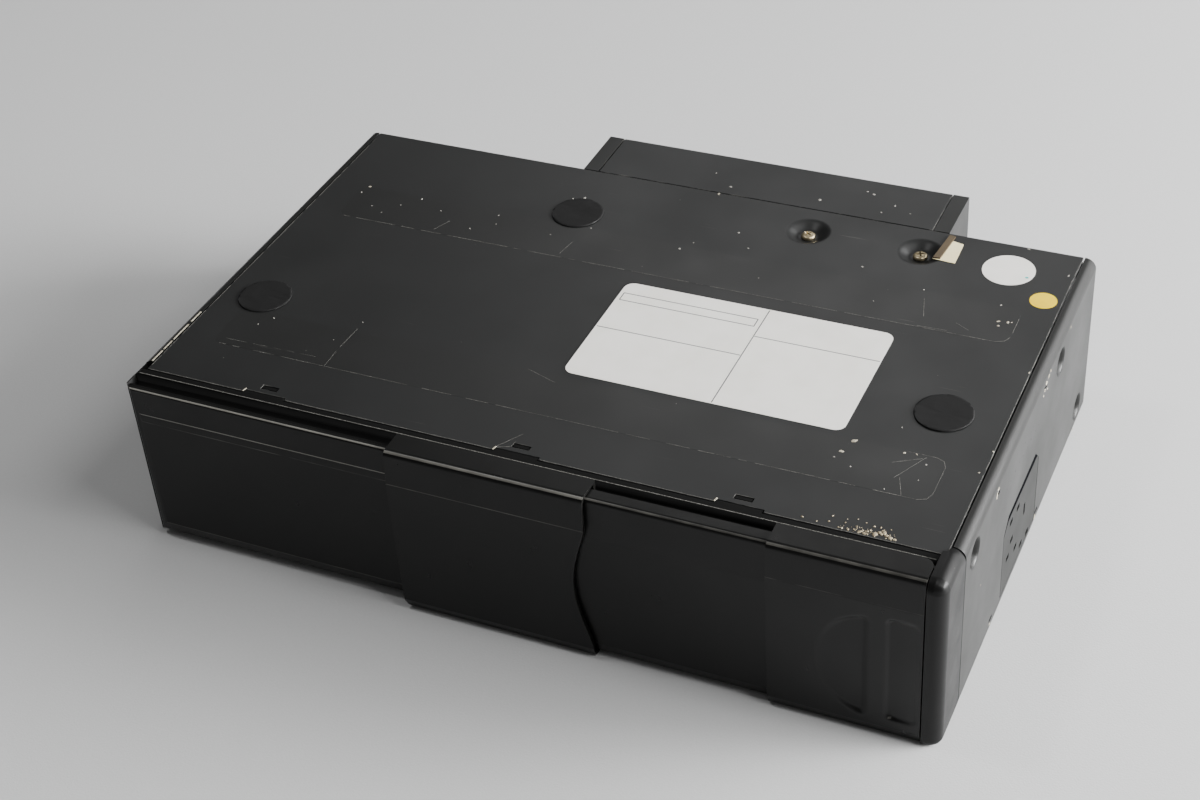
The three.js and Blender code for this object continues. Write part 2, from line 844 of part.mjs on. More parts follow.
function rearSocket() {
  const left = socketPlace - socketWide / 2;
  const right = socketPlace + socketWide / 2;
  const low = socketHeight - socketTall / 2;
  const high = socketHeight + socketTall / 2;
  const front = boxRear - socketDeep;
  const flangeRear = boxRear - sheet - seatGap;
  let socket = join(block(left, right, front, boxRear, low, high),
    block(left - socketFlange, right + socketFlange, flangeRear - socketFlangeThick, flangeRear,
      low - socketFlange, high + socketFlange));
  socket = cut(socket, block(left + socketWall, right - socketWall, front + socketFloor, boxRear + overrun,
    low + socketWall, high - socketWall));
  for (let column = 0; column < pinColumns; column += 1) {
    for (const row of [-1, 1]) {
      const across = socketPlace + (column - (pinColumns - 1) / 2) * socketPinSpacing;
      const up = socketHeight + row * pinRow;
      socket = join(socket, block(across - pinSize / 2, across + pinSize / 2, front + socketFloor - overrun,
        front + socketFloor + pinReach, up - pinSize / 2, up + pinSize / 2));
    }
  }
  return piece('rear_socket', socket, 'dark');
}

// Section in Y and Z of a front skin: wall with slanted bands, round corners, flanges and any lips
function skinSection({ front, wall, half, corner, flange, rear, lip, band }) {
  const innerCorner = corner * innerCornerShare;
  const halfPoints = (sign, bandHeight) => {
    const points = [
      [front, half - bandHeight],
      ...arcPoints(front + bandSlant + corner, half - corner, corner, Math.PI, Math.PI / 2),
      [rear, half],
    ];
    if (lip) points.push([rear, lipHalf], [rear - lip, lipHalf], [rear - lip, half - flange]);
    else points.push([rear, half - flange]);
    points.push([front + wall + innerCorner, half - flange], [front + wall, half - flange - innerCorner]);
    return points.map(([back, up]) => [back, middleHeight + sign * up]);
  };
  return [...halfPoints(1, band), ...halfPoints(-1, bandLow).reverse()];
}

function leftFrontPanel() {
  const left = panelLeftInset - halfWidth;
  const section = skinSection({ front: panelFront, wall: panelWall, half: panelHalf, corner: panelCorner,
    flange: panelFlange, rear: bezelFront + panelReturn, lip: 0, band: panelBand });
  const behind = bezelFront - panelSeat;
  const plan = roundedPoints(left, panelRight, panelFront, 0, [panelEndRadius, 0, 0, 0]);
  const end = cut(alongX(section, left, left + panelEndRadius).hull(),
    block(left - overrun, panelRight, behind, 0, 0, coverTop));
  const panel = cut(alongX(section, left, panelRight),
    block(left - overrun, endWall - halfWidth + fitGap, behind, 0, 0, coverTop));
  return piece('left_front_panel', join(panel, end).intersect(alongZ(plan, 0, coverTop)), 'skin');
}

function coverSection() {
  return skinSection({ front: coverFront, wall: coverWall, half: coverHalf, corner: coverCorner,
    flange: coverFlange, rear: coverLipRear, lip: coverLipWall, band: coverBand });
}

// Middle cover: its right edge curves in along the front wall
function middleCover() {
  const wave = Array.from({ length: waveSteps + 1 }, (_, i) => {
    const share = i / waveSteps;
    const bend = waveDepth * Math.sin(Math.PI * share) ** wavePower;
    return [coverRight - bend, waveLow + (waveHigh - waveLow) * share];
  });
  const bay = alongY([...wave, [coverRight + overrun, waveHigh], [coverRight + overrun, waveLow]],
    coverFront - overrun, coverFront + coverWall + overrun);
  const face = roundedPoints(coverLeft, coverRight, coverFloorGap, coverTop, [coverCornerCut, 0, 0, 0]);
  const cover = alongX(coverSection(), coverLeft, coverRight)
    .intersect(alongY(face, coverFront - overrun, 0));
  return piece('middle_cover', cut(cover, bay), 'skin');
}

// Grip door: a thin sliding panel with a thick grip end and two finger recesses
function gripDoor() {
  const thin = skinSection({ front: doorFront, wall: doorWall, half: doorHalf, corner: doorCorner,
    flange: doorFlange, rear: doorLipRear, lip: doorLipWall, band: doorBand });
  const thick = skinSection({ front: coverFront, wall: doorFront + doorWall - coverFront, half: coverHalf,
    corner: coverCorner, flange: coverFlange + slideGap + doorFlange, rear: coverLipRear, lip: coverLipWall,
    band: coverBand });
  const scoopRight = gripRight - scoopSide;
  const scoopLeft = scoopRight - scoopWidth;
  const scoopCentre = (scoopLeft + scoopRight) / 2;
  const scoopSlope = [[scoopLeft, coverFront - overrun], [scoopRight, coverFront - overrun],
    [scoopRight, coverFront + scoopDepth], [scoopCentre, coverFront + scoopDepth * scoopRiseShare],
    [scoopLeft, coverFront]];
  const scoopFace = arcPoints(0, 0, 1, Math.PI / 2, 1.5 * Math.PI, 4 * cornerSteps)
    .map(([across, up]) => [scoopRight + across * scoopWidth, scoopMiddle + up * scoopHalfHeight]);
  const scoop = alongZ(scoopSlope, 0, coverTop)
    .intersect(alongY(scoopFace, coverFront - overrun, coverFront + scoopDepth + overrun));
  const recessLeft = gripRight - recessSide;
  const recessRight = recessLeft + recessWidth;
  const recessSlope = [[recessLeft, coverFront - overrun], [recessRight, coverFront - overrun],
    [recessRight, coverFront + recessShallow], [recessLeft, coverFront + scoopDepth]];
  const recess = alongZ(recessSlope, 0, coverTop).intersect(alongY(
    evenlyRounded(recessLeft, recessRight, recessLow, bodyHeight - recessDrop, recessCorner),
    coverFront - overrun, coverFront + scoopDepth + overrun));
  const door = join(alongX(thin, doorLeft, gripLeft + overrun), alongX(thick, gripLeft, gripRight));
  return piece('grip_door', cut(door, scoop, recess), 'skin');
}

// Front bezel: grooved rails above and below, wall with the magazine slot, snap tongues and the right end cap
function endCap() {
  const rear = bezelSeam;
  const side = [
    ...arcPoints(coverFront + capRound, coverFloorGap + coverCorner, coverCorner, 1.5 * Math.PI, Math.PI)
      .map(([back, up]) => [back - capRound + coverCorner, up]),
    ...arcPoints(coverFront + capRound, coverTop - capRound, capRound, Math.PI, Math.PI / 2),
    [bezelRear, coverTop],
    [bezelSeam, bodyHeight],
    [rear, coverFloorGap],
  ];
  const plan = [
    [capLeft, coverFront], ...arcPoints(halfWidth - capRound, coverFront + capRound, capRound,
      1.5 * Math.PI, 2 * Math.PI), [halfWidth, rear], [capLeft, rear],
  ];
  const face = roundedPoints(capLeft, halfWidth, coverFloorGap, coverTop,
    [0, shellBottomRadius, shellTopRadius, 0]);
  return alongX(side, capLeft, halfWidth)
    .intersect(alongZ(plan, 0, coverTop))
    .intersect(alongY(face, coverFront, rear));
}

function frontBezel() {
  const slab = [middleHeight - slabHalf, middleHeight + slabHalf];
  const railPoints = [
    [ridgeFront, slabHalf], [bezelFront, slabHalf], [bezelFront, railHalf], [railRear, railHalf],
    [railRear, grooveHalf], [ribFront, grooveHalf], [ribFront, railHalf], [ribRear, railHalf],
    [ribRear, grooveHalf], [ridgeFront, grooveHalf], [ridgeFront, ridgeHalf], [bezelRear, ridgeHalf],
  ];
  const mirror = (sign) => railPoints.map(([back, up]) => [back, middleHeight + sign * up]);
  const slotLeft = magazineLeft - slotSide;
  const slotRight = magazineRight + slotSide;
  const slotLow = magazineLow - slotHeightPlay;
  const slotHigh = magazineHigh + slotHeightPlay;
  const face = roundedPoints(-halfWidth, capLeft + overrun, coverFloorGap, bodyHeight,
    [shellBottomRadius, 0, 0, shellTopRadius]);
  let frame = join(
    alongX([...mirror(1), ...mirror(-1).reverse()], -halfWidth, capLeft + overrun / 2),
    block(panelRight + fitGap, capLeft + overrun / 2, bezelFront, bezelFront + slotWall, ...slab),
    block(slotLeft - slotWall, slotRight + slotWall, bezelFront, bezelRear, slotLow - slotWall,
      slotHigh + slotWall),
    block(-halfWidth, endWall - halfWidth, bezelFront, bezelSeam, coverFloorGap, bodyHeight),
    block(-halfWidth, capLeft + overrun / 2, ridgeFront, bezelSeam, coverFloorGap,
      middleHeight - ridgeHalf + railSlab),
    ...stiffenerPlaces.map((place) => block(place - railSlab / 2, place + railSlab / 2, bezelFront,
      ridgeFront + overrun / 2, slab[0] - overrun / 2, slab[1] + overrun / 2)),
  ).intersect(alongY(face, bezelFront, bezelSeam));
  const capHollow = block(capLeft - overrun, halfWidth - endWall, bezelRear, bezelSeam + overrun,
    coverFloorGap + endWall, bodyHeight + coverRise + overrun);
  frame = join(frame, cut(endCap(), capHollow));
  const switchAcross = buttonLeft + buttonWidth / 2;
  const switchUp = buttonLow + buttonTall / 2;
  frame = cut(frame,
    block(slotLeft, slotRight, bezelFront - overrun, bezelRear + overrun, slotLow, slotHigh),
    block(buttonLeft - slideGap, buttonLeft + buttonWidth + slideGap, bezelFront - overrun,
      bezelFront + slotWall + overrun, buttonLow - slideGap, buttonLow + buttonTall + slideGap),
    rodY(switchHole, ridgeFront - overrun, bezelRear + overrun, switchAcross, switchUp));
  const tongueHigh = plateUnder - tongueClear;
  for (const place of [hookLeft, hookMiddle, hookRight]) {
    const notch = hookNotchWidth / 2 - tonguePlay;
    const bump = hookSlotWidth / 2 - tonguePlay;
    frame = join(frame,
      block(place - notch, place + notch, bezelRear - overrun / 2, tongueReach, tongueHigh - tongueThickness,
        tongueHigh),
      block(place - notch, place + notch, bezelRear - overrun / 2, hookNotchDepth - tonguePlay,
        tongueHigh - tongueThickness, bodyHeight),
      block(place - bump, place + bump, hookSlotBack + tonguePlay, hookSlotBack + hookSlotDepth - tonguePlay,
        tongueHigh - seatGap, bodyHeight - seatGap));
  }
  return piece('front_bezel', frame, 'bezel');
}

// Eject button, held by a flange behind the bezel's wall, and the board with its switch
function ejectButton() {
  const high = buttonLow + buttonTall;
  const right = buttonLeft + buttonWidth;
  const flangeFront = bezelFront + slotWall + fitGap;
  const flangeRear = flangeFront + buttonFlangeThick;
  const stemEnd = bezelRear - switchPlungerReach + switchClear - seatGap - buttonTravel;
  const face = evenlyRounded(buttonLeft, right, buttonLow, high, buttonCorner);
  const button = join(
    alongY(face, bezelFront - buttonProud, flangeRear),
    block(buttonLeft - buttonFlange, right + buttonFlange, flangeFront, flangeRear, buttonLow - buttonFlange,
      high + buttonFlange),
    rodY(buttonStem, flangeRear - overrun / 2, stemEnd, (buttonLeft + right) / 2, (buttonLow + high) / 2));
  return piece('eject_button', button, 'dark');
}

function ejectSwitchBoard() {
  const front = bezelRear + seatGap;
  const boardFace = front + switchBoardPost;
  const across = buttonLeft + buttonWidth / 2;
  const up = buttonLow + buttonTall / 2;
  const half = buttonWidth / 2 + switchBody;
  const board = join(
    block(across - half, across + half, boardFace, boardFace + switchBoardThick, up - switchBoardHalf,
      up + switchBoardHalf),
    block(across - half, across - half + switchBody, front, boardFace + overrun / 2, up - switchBody / 2,
      up + switchBody / 2),
    block(across + half - switchBody, across + half, front, boardFace + overrun / 2, up - switchBody / 2,
      up + switchBody / 2),
    block(across - switchBody, across + switchBody, front + switchPlungerReach / 2, boardFace + overrun / 2,
      up - switchBody, up + switchBody),
    rodY(switchPlungerRadius, bezelRear - switchPlungerReach + switchClear, boardFace, across, up));
  return piece('eject_switch_board', board, 'board');
}

// Magazine: case open to the left, with shelves, and its trays
function magazineCase() {
  let body = block(magazineLeft, magazineRight, magazineFront, magazineRear, magazineLow, magazineHigh);
  body = cut(body, block(magazineLeft - overrun, magazineRight - magazineSkin, magazineHead,
    magazineRear - magazineRearWall, magazineLow + magazineSkin, magazineHigh - magazineSkin));
  const shelfRight = magazineRight - magazineSkin + overrun / 2;
  for (let level = 1; level < trayCount; level += 1) {
    const up = magazineLow + magazineSkin + level * trayPitch;
    for (const [from, to] of [[magazineHead - overrun / 2, magazineHead + shelfReach],
      [magazineRear - magazineRearWall - shelfReach, magazineRear - magazineRearWall + overrun / 2]]) {
      body = join(body, block(magazineLeft, shelfRight, from, to, up - shelf / 2, up + shelf / 2));
    }
  }
  for (let rib = 0; rib < magazineGripRibs; rib += 1) {
    for (const side of [-1, 1]) {
      const reach = magazineRight - magazineMiddle - magazineGripMargin - rib * magazineGripSpacing;
      const across = magazineMiddle + side * reach;
      body = join(body, block(across - magazineGripRibWide / 2, across + magazineGripRibWide / 2,
        magazineFront - magazineGripRibProud, magazineFront + overrun / 2, magazineLow + magazineGripMargin,
        magazineHigh - magazineGripMargin));
    }
  }
  return piece('magazine_case', body, 'dark');
}

function discTray(level) {
  const low = trayLow + level * trayPitch;
  const high = low + trayThickness;
  const slot = [[trayLeft - overrun, discBack - traySlotHalf],
    ...arcPoints(discAcross, discBack, traySlotHalf, -Math.PI / 2, Math.PI / 2, 2 * cornerSteps),
    [trayLeft - overrun, discBack + traySlotHalf]];
  const tray = cut(
    alongZ(evenlyRounded(trayLeft, trayRight, trayFront, trayRear, trayCorner), low, high),
    rodZ(discPocket, low - overrun, high - trayLedge, discAcross, discBack, fineSides),
    alongZ(slot, low - overrun, high + overrun));
  return piece(`disc_tray_${level + 1}`, tray, 'nylon');
}

// Cradle that the magazine slides in, and the pusher that ejects it
function magazineCradle() {
  const floorHigh = magazineLow - fitGap;
  const floorLow = floorHigh - sheet;
  const wallLeft = magazineRight + cradleSide;
  const stopFront = cradleRear - sheet;
  const postFront = cradleFront + cradlePostInset;
  const postRear = cradleRear - cradlePostInset;
  const stopLeft = magazineLeft + cradleStopBeyond;
  const stopRight = magazineRight - cradleStopInset;
  let cradle = join(
    block(magazineLeft, wallLeft + sheet, cradleFront, cradleRear, floorLow, floorHigh),
    block(wallLeft, wallLeft + sheet, cradleFront, cradleRear, floorLow,
      magazineHigh + cradleWallRise),
    block(stopLeft, stopRight, stopFront, cradleRear, floorLow, cradleStopHigh));
  for (const across of [magazineLeft + cradlePostInset, magazineRight - cradlePostFar]) {
    for (const back of [postFront, postRear]) {
      cradle = join(cradle, rodZ(cradlePost, baseHigh + seatGap, floorLow + sheet / 2, across, back));
    }
  }
  cradle = cut(cradle, rodY(pusherStem + holeGap, stopFront - overrun, cradleRear + overrun,
    magazineMiddle, pusherHeight));
  return piece('magazine_cradle', cradle, 'steel');
}

function ejectPusher() {
  const middle = magazineMiddle;
  const front = magazineRear + fitGap;
  const pusher = join(
    block(middle - pusherWide / 2, middle + pusherWide / 2, front, front + pusherThick,
      pusherHeight - pusherTall / 2, pusherHeight + pusherTall / 2),
    rodY(pusherStem, front + pusherThick / 2, bodyDepth - pusherStemEnd, middle,
      pusherHeight));
  return piece('eject_pusher', pusher, 'nylon');
}

// Mechanism base on its dampers
function mechanismBase() {
  const edge = halfWidth - sheet - baseSideGap;
  let base = block(-edge, edge, baseFront, baseRear, baseLow, baseHigh);
  for (const side of [-1, 1]) {
    const [from, to] = sideways(side, edge - sheet, edge);
    base = join(base, block(from, to, baseFlangeFront, baseFlangeRear, baseLow, baseFlangeHigh));
    base = cut(base,
      rodX(selectorStub + holeGap, from - overrun, to + overrun, selectorBack, selectorHeight));
    for (const back of Object.values(damperPlaces)) {
      base = cut(base, rodZ(damperNeck + holeGap, baseLow - overrun, baseHigh + overrun, side * damperAcross,
        back));
    }
  }
  const windows = [[baseWindowSide - halfWidth, magazineLeft - baseWindowGap],
    [magazineLeft + bayWindowBeyond, magazineRight - bayWindowInset]];
  for (const [from, to] of windows) {
    base = cut(base, block(from, to, baseWindowFront, bodyDepth - baseWindowEnd, baseLow - overrun,
      baseHigh + overrun));
  }
  return piece('mechanism_base', base, 'steel');
}

function dampers() {
  const bottom = sheet + seatGap;
  const profile = [[0, bottom], [damperRadius - damperTaper, bottom], [damperRadius, baseLow - seatGap],
    [damperNeck, baseLow - seatGap], [damperNeck, baseHigh + seatGap], [damperRadius, baseHigh + seatGap],
    [damperRadius - damperTaper, damperTop], [0, damperTop]];
  const meshes = [];
  for (const [word, side] of [['left', -1], ['right', 1]]) {
    for (const [end, back] of Object.entries(damperPlaces)) {
      meshes.push(piece(`${word}_${end}_damper`, turned(profile).translate([side * damperAcross, back, 0]),
        'rubber'));
    }
  }
  return meshes;
}

// Brackets with upright slots for the deck's pins
function bracket(name, face, footSide) {
  const low = baseHigh + seatGap;
  const rear = face + sheet;
  const [footFront, footRear] = footSide > 0 ? [face, face + bracketFoot] : [rear - bracketFoot, rear];
  let wall = join(
    block(bracketLeft, deckRight, face, rear, low, bracketHigh),
    block(bracketLeft, deckRight, footFront, footRear, low, low + sheet));
  const slotHalf = pinRadius + pinPlay;
  for (const place of pinPlaces) {
    wall = cut(wall, alongY(evenlyRounded(place - slotHalf, place + slotHalf, pinHeight - slotHalf,
      pinHeight + liftTravel + slotHalf, slotHalf), face - overrun, face + sheet + overrun));
  }
  wall = cut(wall,
    rodY(shaftRadius + holeGap, face - overrun, face + sheet + overrun, shaftPlace, shaftHeight),
    block(pinLeft + bracketWindowInset, pinRight - bracketWindowInset, face - overrun, face + sheet + overrun,
      bracketWindowLow, bracketHigh - bracketWindowDrop));
  return piece(name, wall, 'steel');
}

// Involute gear outline about the origin, a gap pointing up
function gearPoints(teeth) {
  const pitch = toothSize * teeth / 2;
  const base = pitch * Math.cos(pressureAngle);
  const tip = pitch + addendumShare * toothSize;
  const root = pitch - dedendumShare * toothSize;
  const involute = (angle) => Math.tan(angle) - angle;
  const halfTooth = (Math.PI * toothSize / 2 - gearBacklash) / 2 / pitch;
  const start = Math.max(base, root);
  const flank = Array.from({ length: flankSteps + 1 }, (_, i) => {
    const radius = start + (tip - start) * i / flankSteps;
    const slope = Math.acos(Math.min(1, base / radius));
    return [radius, halfTooth + involute(pressureAngle) - involute(slope)];
  });
  const side = [[root, flank[0][1]], ...flank];
  const points = [];
  for (let tooth = 0; tooth < teeth; tooth += 1) {
    const centre = Math.PI / 2 + (tooth + 0.5) * 2 * Math.PI / teeth;
    const rising = side.map(([radius, angle]) => [radius, centre - angle]);
    const falling = side.map(([radius, angle]) => [radius, centre + angle]).reverse();
    for (const [radius, angle] of [...rising, ...falling]) {
      points.push([radius * Math.cos(angle), radius * Math.sin(angle)]);
    }
  }
  return points;
}

const shifted = (points, across, up) => points.map(([a, b]) => [a + across, b + up]);

const pressureAngle = THREE.MathUtils.degToRad(pressureDegrees);
const liftPitch = toothSize * liftTeeth / 2;
const motorPitch = toothSize * motorTeeth / 2;
const rackLine = shaftHeight + liftPitch;
const rackBase = rackLine + dedendumShare * toothSize;
const liftPlateLeft = liftPlateSide - halfWidth;

// Lower edge of a lift plate: rack teeth pointing down, one of them over the shaft
function rackPoints() {
  const toothPitch = Math.PI * toothSize;
  const tip = rackLine - rackAddendumShare * toothSize;
  const half = (toothPitch / 2 - gearBacklash) / 2;
  const lean = Math.tan(pressureAngle);
  const atTip = half - lean * (rackLine - tip);
  const atBase = half + lean * (rackBase - rackLine);
  const points = [];
  const rackFirst = Math.ceil(rackSpareTeeth - (shaftPlace - liftPlateLeft) / toothPitch);
  for (let tooth = rackFirst; tooth <= rackLast; tooth += 1) {
    const centre = shaftPlace + tooth * toothPitch;
    points.push([centre - atBase, rackBase], [centre - atTip, tip], [centre + atTip, tip],
      [centre + atBase, rackBase]);
  }
  return points;
}

function liftPlate(name, face) {
  const high = pinHeight + liftTravel + liftPlateMargin;
  const slotHalf = pinRadius + pinPlay;
  const right = pinRight + liftPlateBeyond;
  const edge = [[liftPlateLeft, high], [liftPlateLeft, rackBase], ...rackPoints(), [right, rackBase],
    [right, high]];
  let plate = alongY(edge, face, face + sheet);
  for (const place of pinPlaces) {
    const slot = [
      ...arcPoints(place, pinHeight, slotHalf, -0.75 * Math.PI, 0.25 * Math.PI, 2 * cornerSteps),
      ...arcPoints(place - liftTravel, pinHeight + liftTravel, slotHalf, 0.25 * Math.PI, 1.25 * Math.PI,
        2 * cornerSteps),
    ];
    plate = cut(plate, alongY(slot, face - overrun, face + sheet + overrun));
  }
  return piece(name, plate, 'steel');
}

const frontPlateFace = bracketFront - liftPlateGap - sheet;
const rearPlateFace = bracketRear + sheet + liftPlateGap;

function liftShaft() {
  const spare = (pinionWide - sheet) / 2;
  const pinion = shifted(gearPoints(liftTeeth), shaftPlace, shaftHeight);
  const frontPinion = [frontPlateFace - spare, frontPlateFace + sheet + spare];
  const rearPinion = [rearPlateFace - spare, rearPlateFace + sheet + spare];
  const shaft = join(
    rodY(shaftRadius, frontPinion[0], rearPinion[1], shaftPlace, shaftHeight),
    alongY(pinion, ...frontPinion),
    alongY(pinion, ...rearPinion),
    alongY(pinion, driveGearFront, driveGearFront + driveGearWide));
  return piece('lift_shaft', shaft, 'nylon');
}

const motorPlace = shaftPlace - liftPitch - motorPitch;

function liftMotorPinion() {
  const turn = Math.PI / 2 + Math.PI / motorTeeth;
  const points = gearPoints(motorTeeth).map(([a, b]) => [
    a * Math.cos(turn) - b * Math.sin(turn), a * Math.sin(turn) + b * Math.cos(turn)]);
  const gear = join(
    alongY(shifted(points, motorPlace, shaftHeight), driveGearFront, driveGearFront + driveGearWide),
    rodY(motorShaft, driveGearFront + driveGearWide / 2, liftMotorFront + motorShaftIn, motorPlace,
      shaftHeight));
  return piece('lift_motor_pinion', gear, 'nylon');
}

function liftMotor() {
  const low = baseHigh + seatGap;
  const rear = liftMotorFront + liftMotorLength;
  const motor = cut(join(
    rodY(liftMotorRadius, liftMotorFront, rear, motorPlace, shaftHeight),
    block(motorPlace - liftMotorFoot, motorPlace + liftMotorFoot, liftMotorFront, rear, low,
      shaftHeight - liftMotorRadius / 2)),
  rodY(motorShaft + holeGap, liftMotorFront - overrun, liftMotorFront + motorShaftIn + fitGap, motorPlace,
    shaftHeight));
  return piece('lift_motor', motor, 'steel');
}

// Playing deck: chassis with guide pins, rod posts and hinge ears
const rodLeft = spindlePlace - rodAcross;
const rodRight = spindlePlace + rodAcross;
const pullerSlotFront = pullerFront + (pullerDeep - pullerNeck) / 2;
const clampHinge = deckRear - clampHingeInset;
const clampArmHigh = discTop - clampArmDrop + clampArmThick;
const pullerTravel = pullerLeft - deckLeft - pullerStop;

function deckChassis() {
  let deck = block(deckLeft, deckRight, deckFront, deckRear, deckLow, deckHigh);
  for (const [from, to] of [[deckLeft, deckLeft + sheet], [deckRight - sheet, deckRight]]) {
    deck = join(deck, block(from, to, deckFront, deckRear, deckLow, deckHigh + deckFlange));
  }
  const pinOut = bracketFront - frontPlateFace + sheet / 2;
  for (const place of pinPlaces) {
    deck = join(deck,
      rodY(pinRadius, bracketFront - pinOut, deckFront + pinRadius, place, pinHeight),
      rodY(pinRadius, deckRear - pinRadius, bracketRear + sheet + pinOut, place, pinHeight));
  }
  for (const rod of [rodLeft, rodRight]) {
    const [left, right] = [rod - rodPostWide / 2, rod + rodPostWide / 2];
    deck = join(deck,
      block(left, right, rodPostFront, rodPostFront + rodPostFrontWide, deckLow, deckHigh + rodPostRise),
      block(left, right, rodPostRear, deckRear, deckLow, deckHigh + rodPostRise));
  }
  for (const side of [-1, 1]) {
    const inner = clampArmHalf + clampBarrelBeyond + fitGap;
    const [left, right] = sideways(side, inner, inner + earThick).map((place) => spindlePlace + place);
    deck = join(deck, block(left, right, deckRear - earDeep, deckRear,
      clampArmHigh - clampArmThick - earDrop, deckHigh));
  }
  const motorHalf = sledMotorRadius + fitGap;
  deck = cut(deck,
    rodY(rodRadius + holeGap, rodPostFront - overrun, deckRear + overrun, rodLeft, rodHeight),
    rodY(rodRadius + holeGap, rodPostFront - overrun, deckRear + overrun, rodRight, rodHeight),
    rodX(clampStub + holeGap, spindlePlace - rodAcross, spindlePlace + rodAcross, clampHinge,
      clampArmHigh - clampArmThick / 2),
    rodZ(spindleShaft + sheet, deckLow - overrun, deckHigh + overrun, spindlePlace, discBack),
    block(spindlePlace - sledHalf - sledWindowPlay, spindlePlace + sledHalf + sledWindowPlay,
      lensStart - sledFrontPart - sledWindowPlay, lensStart + sledTravel + sledRearPart + sledWindowPlay / 2,
      deckLow - overrun, deckHigh + overrun),
    block(rodLeft - motorHalf, rodLeft + motorHalf, rodPostFront - sledMotorLength - overrun, rodPostFront,
      deckLow - overrun, deckHigh + overrun),
    block(pullerLeft - pullerTravel - overrun, pullerLeft + pullerWide - overrun, pullerSlotFront - slideGap,
      pullerSlotFront + pullerNeck + slideGap, deckLow - overrun, deckHigh + overrun));
  return piece('deck_chassis', deck, 'steel');
}

function spindleMotor() {
  const low = deckHigh + seatGap;
  const bore = spindleShaft + holeGap;
  const profile = [[bore, low], [spindleMotorRadius, low], [spindleMotorRadius, low + spindleMotorHeight],
    [0, low + spindleMotorHeight], [0, low + spindleMotorHeight - sheet],
    [bore, low + spindleMotorHeight - sheet], [bore, low]];
  return piece('spindle_motor', turned(profile, fineSides).translate([spindlePlace, discBack, 0]), 'steel');
}

function turntable() {
  const face = discTop + platterLift;
  const shaftTop = deckHigh + spindleMotorHeight - sheet - fitGap;
  const back = face + platterThick;
  const profile = [[0, face - hubReach], [hubRadius - hubTaper, face - hubReach],
    [hubRadius, face - hubTaper / 2], [hubRadius, face], [platterRadius, face], [platterRadius, back],
    [spindleShaft, back], [spindleShaft, shaftTop], [0, shaftTop]];
  return piece('turntable', turned(profile, fineSides).translate([spindlePlace, discBack, 0]), 'dark');
}

function pickupSled() {
  const bore = rodRadius + holeGap;
  const armReach = rodAcross + armBeyond;
  const front = lensStart - sledFrontPart;
  const rear = lensStart + sledRearPart;
  const domeFoot = sledLow - lensTurret;
  const lens = turned([[0, domeFoot - lensDome], [lensRadius / 2, domeFoot - lensDome + lensShoulder],
    [lensRadius, domeFoot], [lensRadius, sledLow + overrun], [0, sledLow + overrun]])
    .translate([spindlePlace, lensStart, 0]);
  const sled = cut(join(
    block(spindlePlace - sledHalf, spindlePlace + sledHalf, front, rear, sledLow,
      deckHigh + sledRise),
    block(spindlePlace - armReach, spindlePlace + armReach, lensStart - armFrontPart, lensStart + armRearPart,
      deckHigh + fitGap, deckHigh + armRise),
    lens),
  rodY(bore, front, rear, rodLeft, rodHeight),
  rodY(bore, front, rear, rodRight, rodHeight));
  return piece('pickup_sled', sled, 'dark');
}

const guideRod = () => piece('sled_guide_rod',
  rodY(rodRadius, rodPostFront + seatGap, deckRear - seatGap, rodRight, rodHeight), 'steel');
const leadScrew = () => piece('sled_lead_screw',
  rodY(rodRadius, rodPostFront + seatGap, deckRear - seatGap, rodLeft, rodHeight), 'steel');

function sledMotor() {
  const rear = rodPostFront - seatGap;
  const motor = rodY(sledMotorRadius, rear - sledMotorLength, rear, rodLeft, rodHeight);
  return piece('sled_motor', motor, 'steel');
}

function clampArm() {
  const low = clampArmHigh - clampArmThick;
  const axis = clampArmHigh - clampArmThick / 2;
  const reach = clampArmHalf + clampBarrelBeyond;
  const stubReach = reach + clampStubLength;
  const arm = cut(join(
    block(spindlePlace - clampArmHalf, spindlePlace + clampArmHalf, discBack - clampArmReach, clampHinge, low,
      clampArmHigh),
    rodX(clampBarrel, spindlePlace - reach, spindlePlace + reach, clampHinge, axis),
    rodX(clampStub, spindlePlace - stubReach, spindlePlace + stubReach, clampHinge, axis)),
  rodZ(puckStub + holeGap, low - overrun, clampArmHigh + overrun, spindlePlace, discBack));
  return piece('clamp_arm', arm, 'steel');
}

function clampPuck() {
  const low = clampArmHigh + puckGap;
  const stubEnd = clampArmHigh - clampArmThick;
  const high = low + puckFloor + puckRim;
  const profile = [[0, stubEnd], [puckStub, stubEnd], [puckStub, low], [puckRadius, low], [puckRadius, high],
    [puckCup, high], [puckCup, low + puckFloor], [0, low + puckFloor]];
  return piece('clamp_puck', turned(profile, fineSides).translate([spindlePlace, discBack, 0]), 'nylon');
}

function trayPuller() {
  const right = pullerLeft + pullerWide;
  const under = deckLow - fitGap;
  const over = deckHigh + fitGap;
  const puller = join(
    block(pullerLeft, right, pullerFront, pullerFront + pullerDeep, under - pullerThick, under),
    block(pullerLeft + sheet, right - pullerFinger, pullerSlotFront, pullerSlotFront + pullerNeck,
      under - pullerThick / 2, over + pullerThick / 2),
    block(pullerLeft, right - overrun, pullerFront, pullerFront + pullerDeep, over, over + pullerThick),
    block(right - pullerFinger, right, pullerFront, pullerFront + pullerDeep,
      under - pullerThick - pullerFingerDrop, under - pullerThick / 2));
  return piece('tray_puller', puller, 'nylon');
}

function loadingMotor() {
  const up = deckHigh + seatGap + loadMotorRadius;
  const left = loadMotorSide - halfWidth;
  const right = left + loadMotorLength;
  const motor = join(
    rodX(loadMotorRadius, left, right, loadMotorFront, up),
    block(left, right, loadMotorFront - loadMotorRadius / 2, loadMotorFront + loadMotorRadius / 2,
      deckHigh + seatGap, up));
  return piece('loading_motor', motor, 'steel');
}

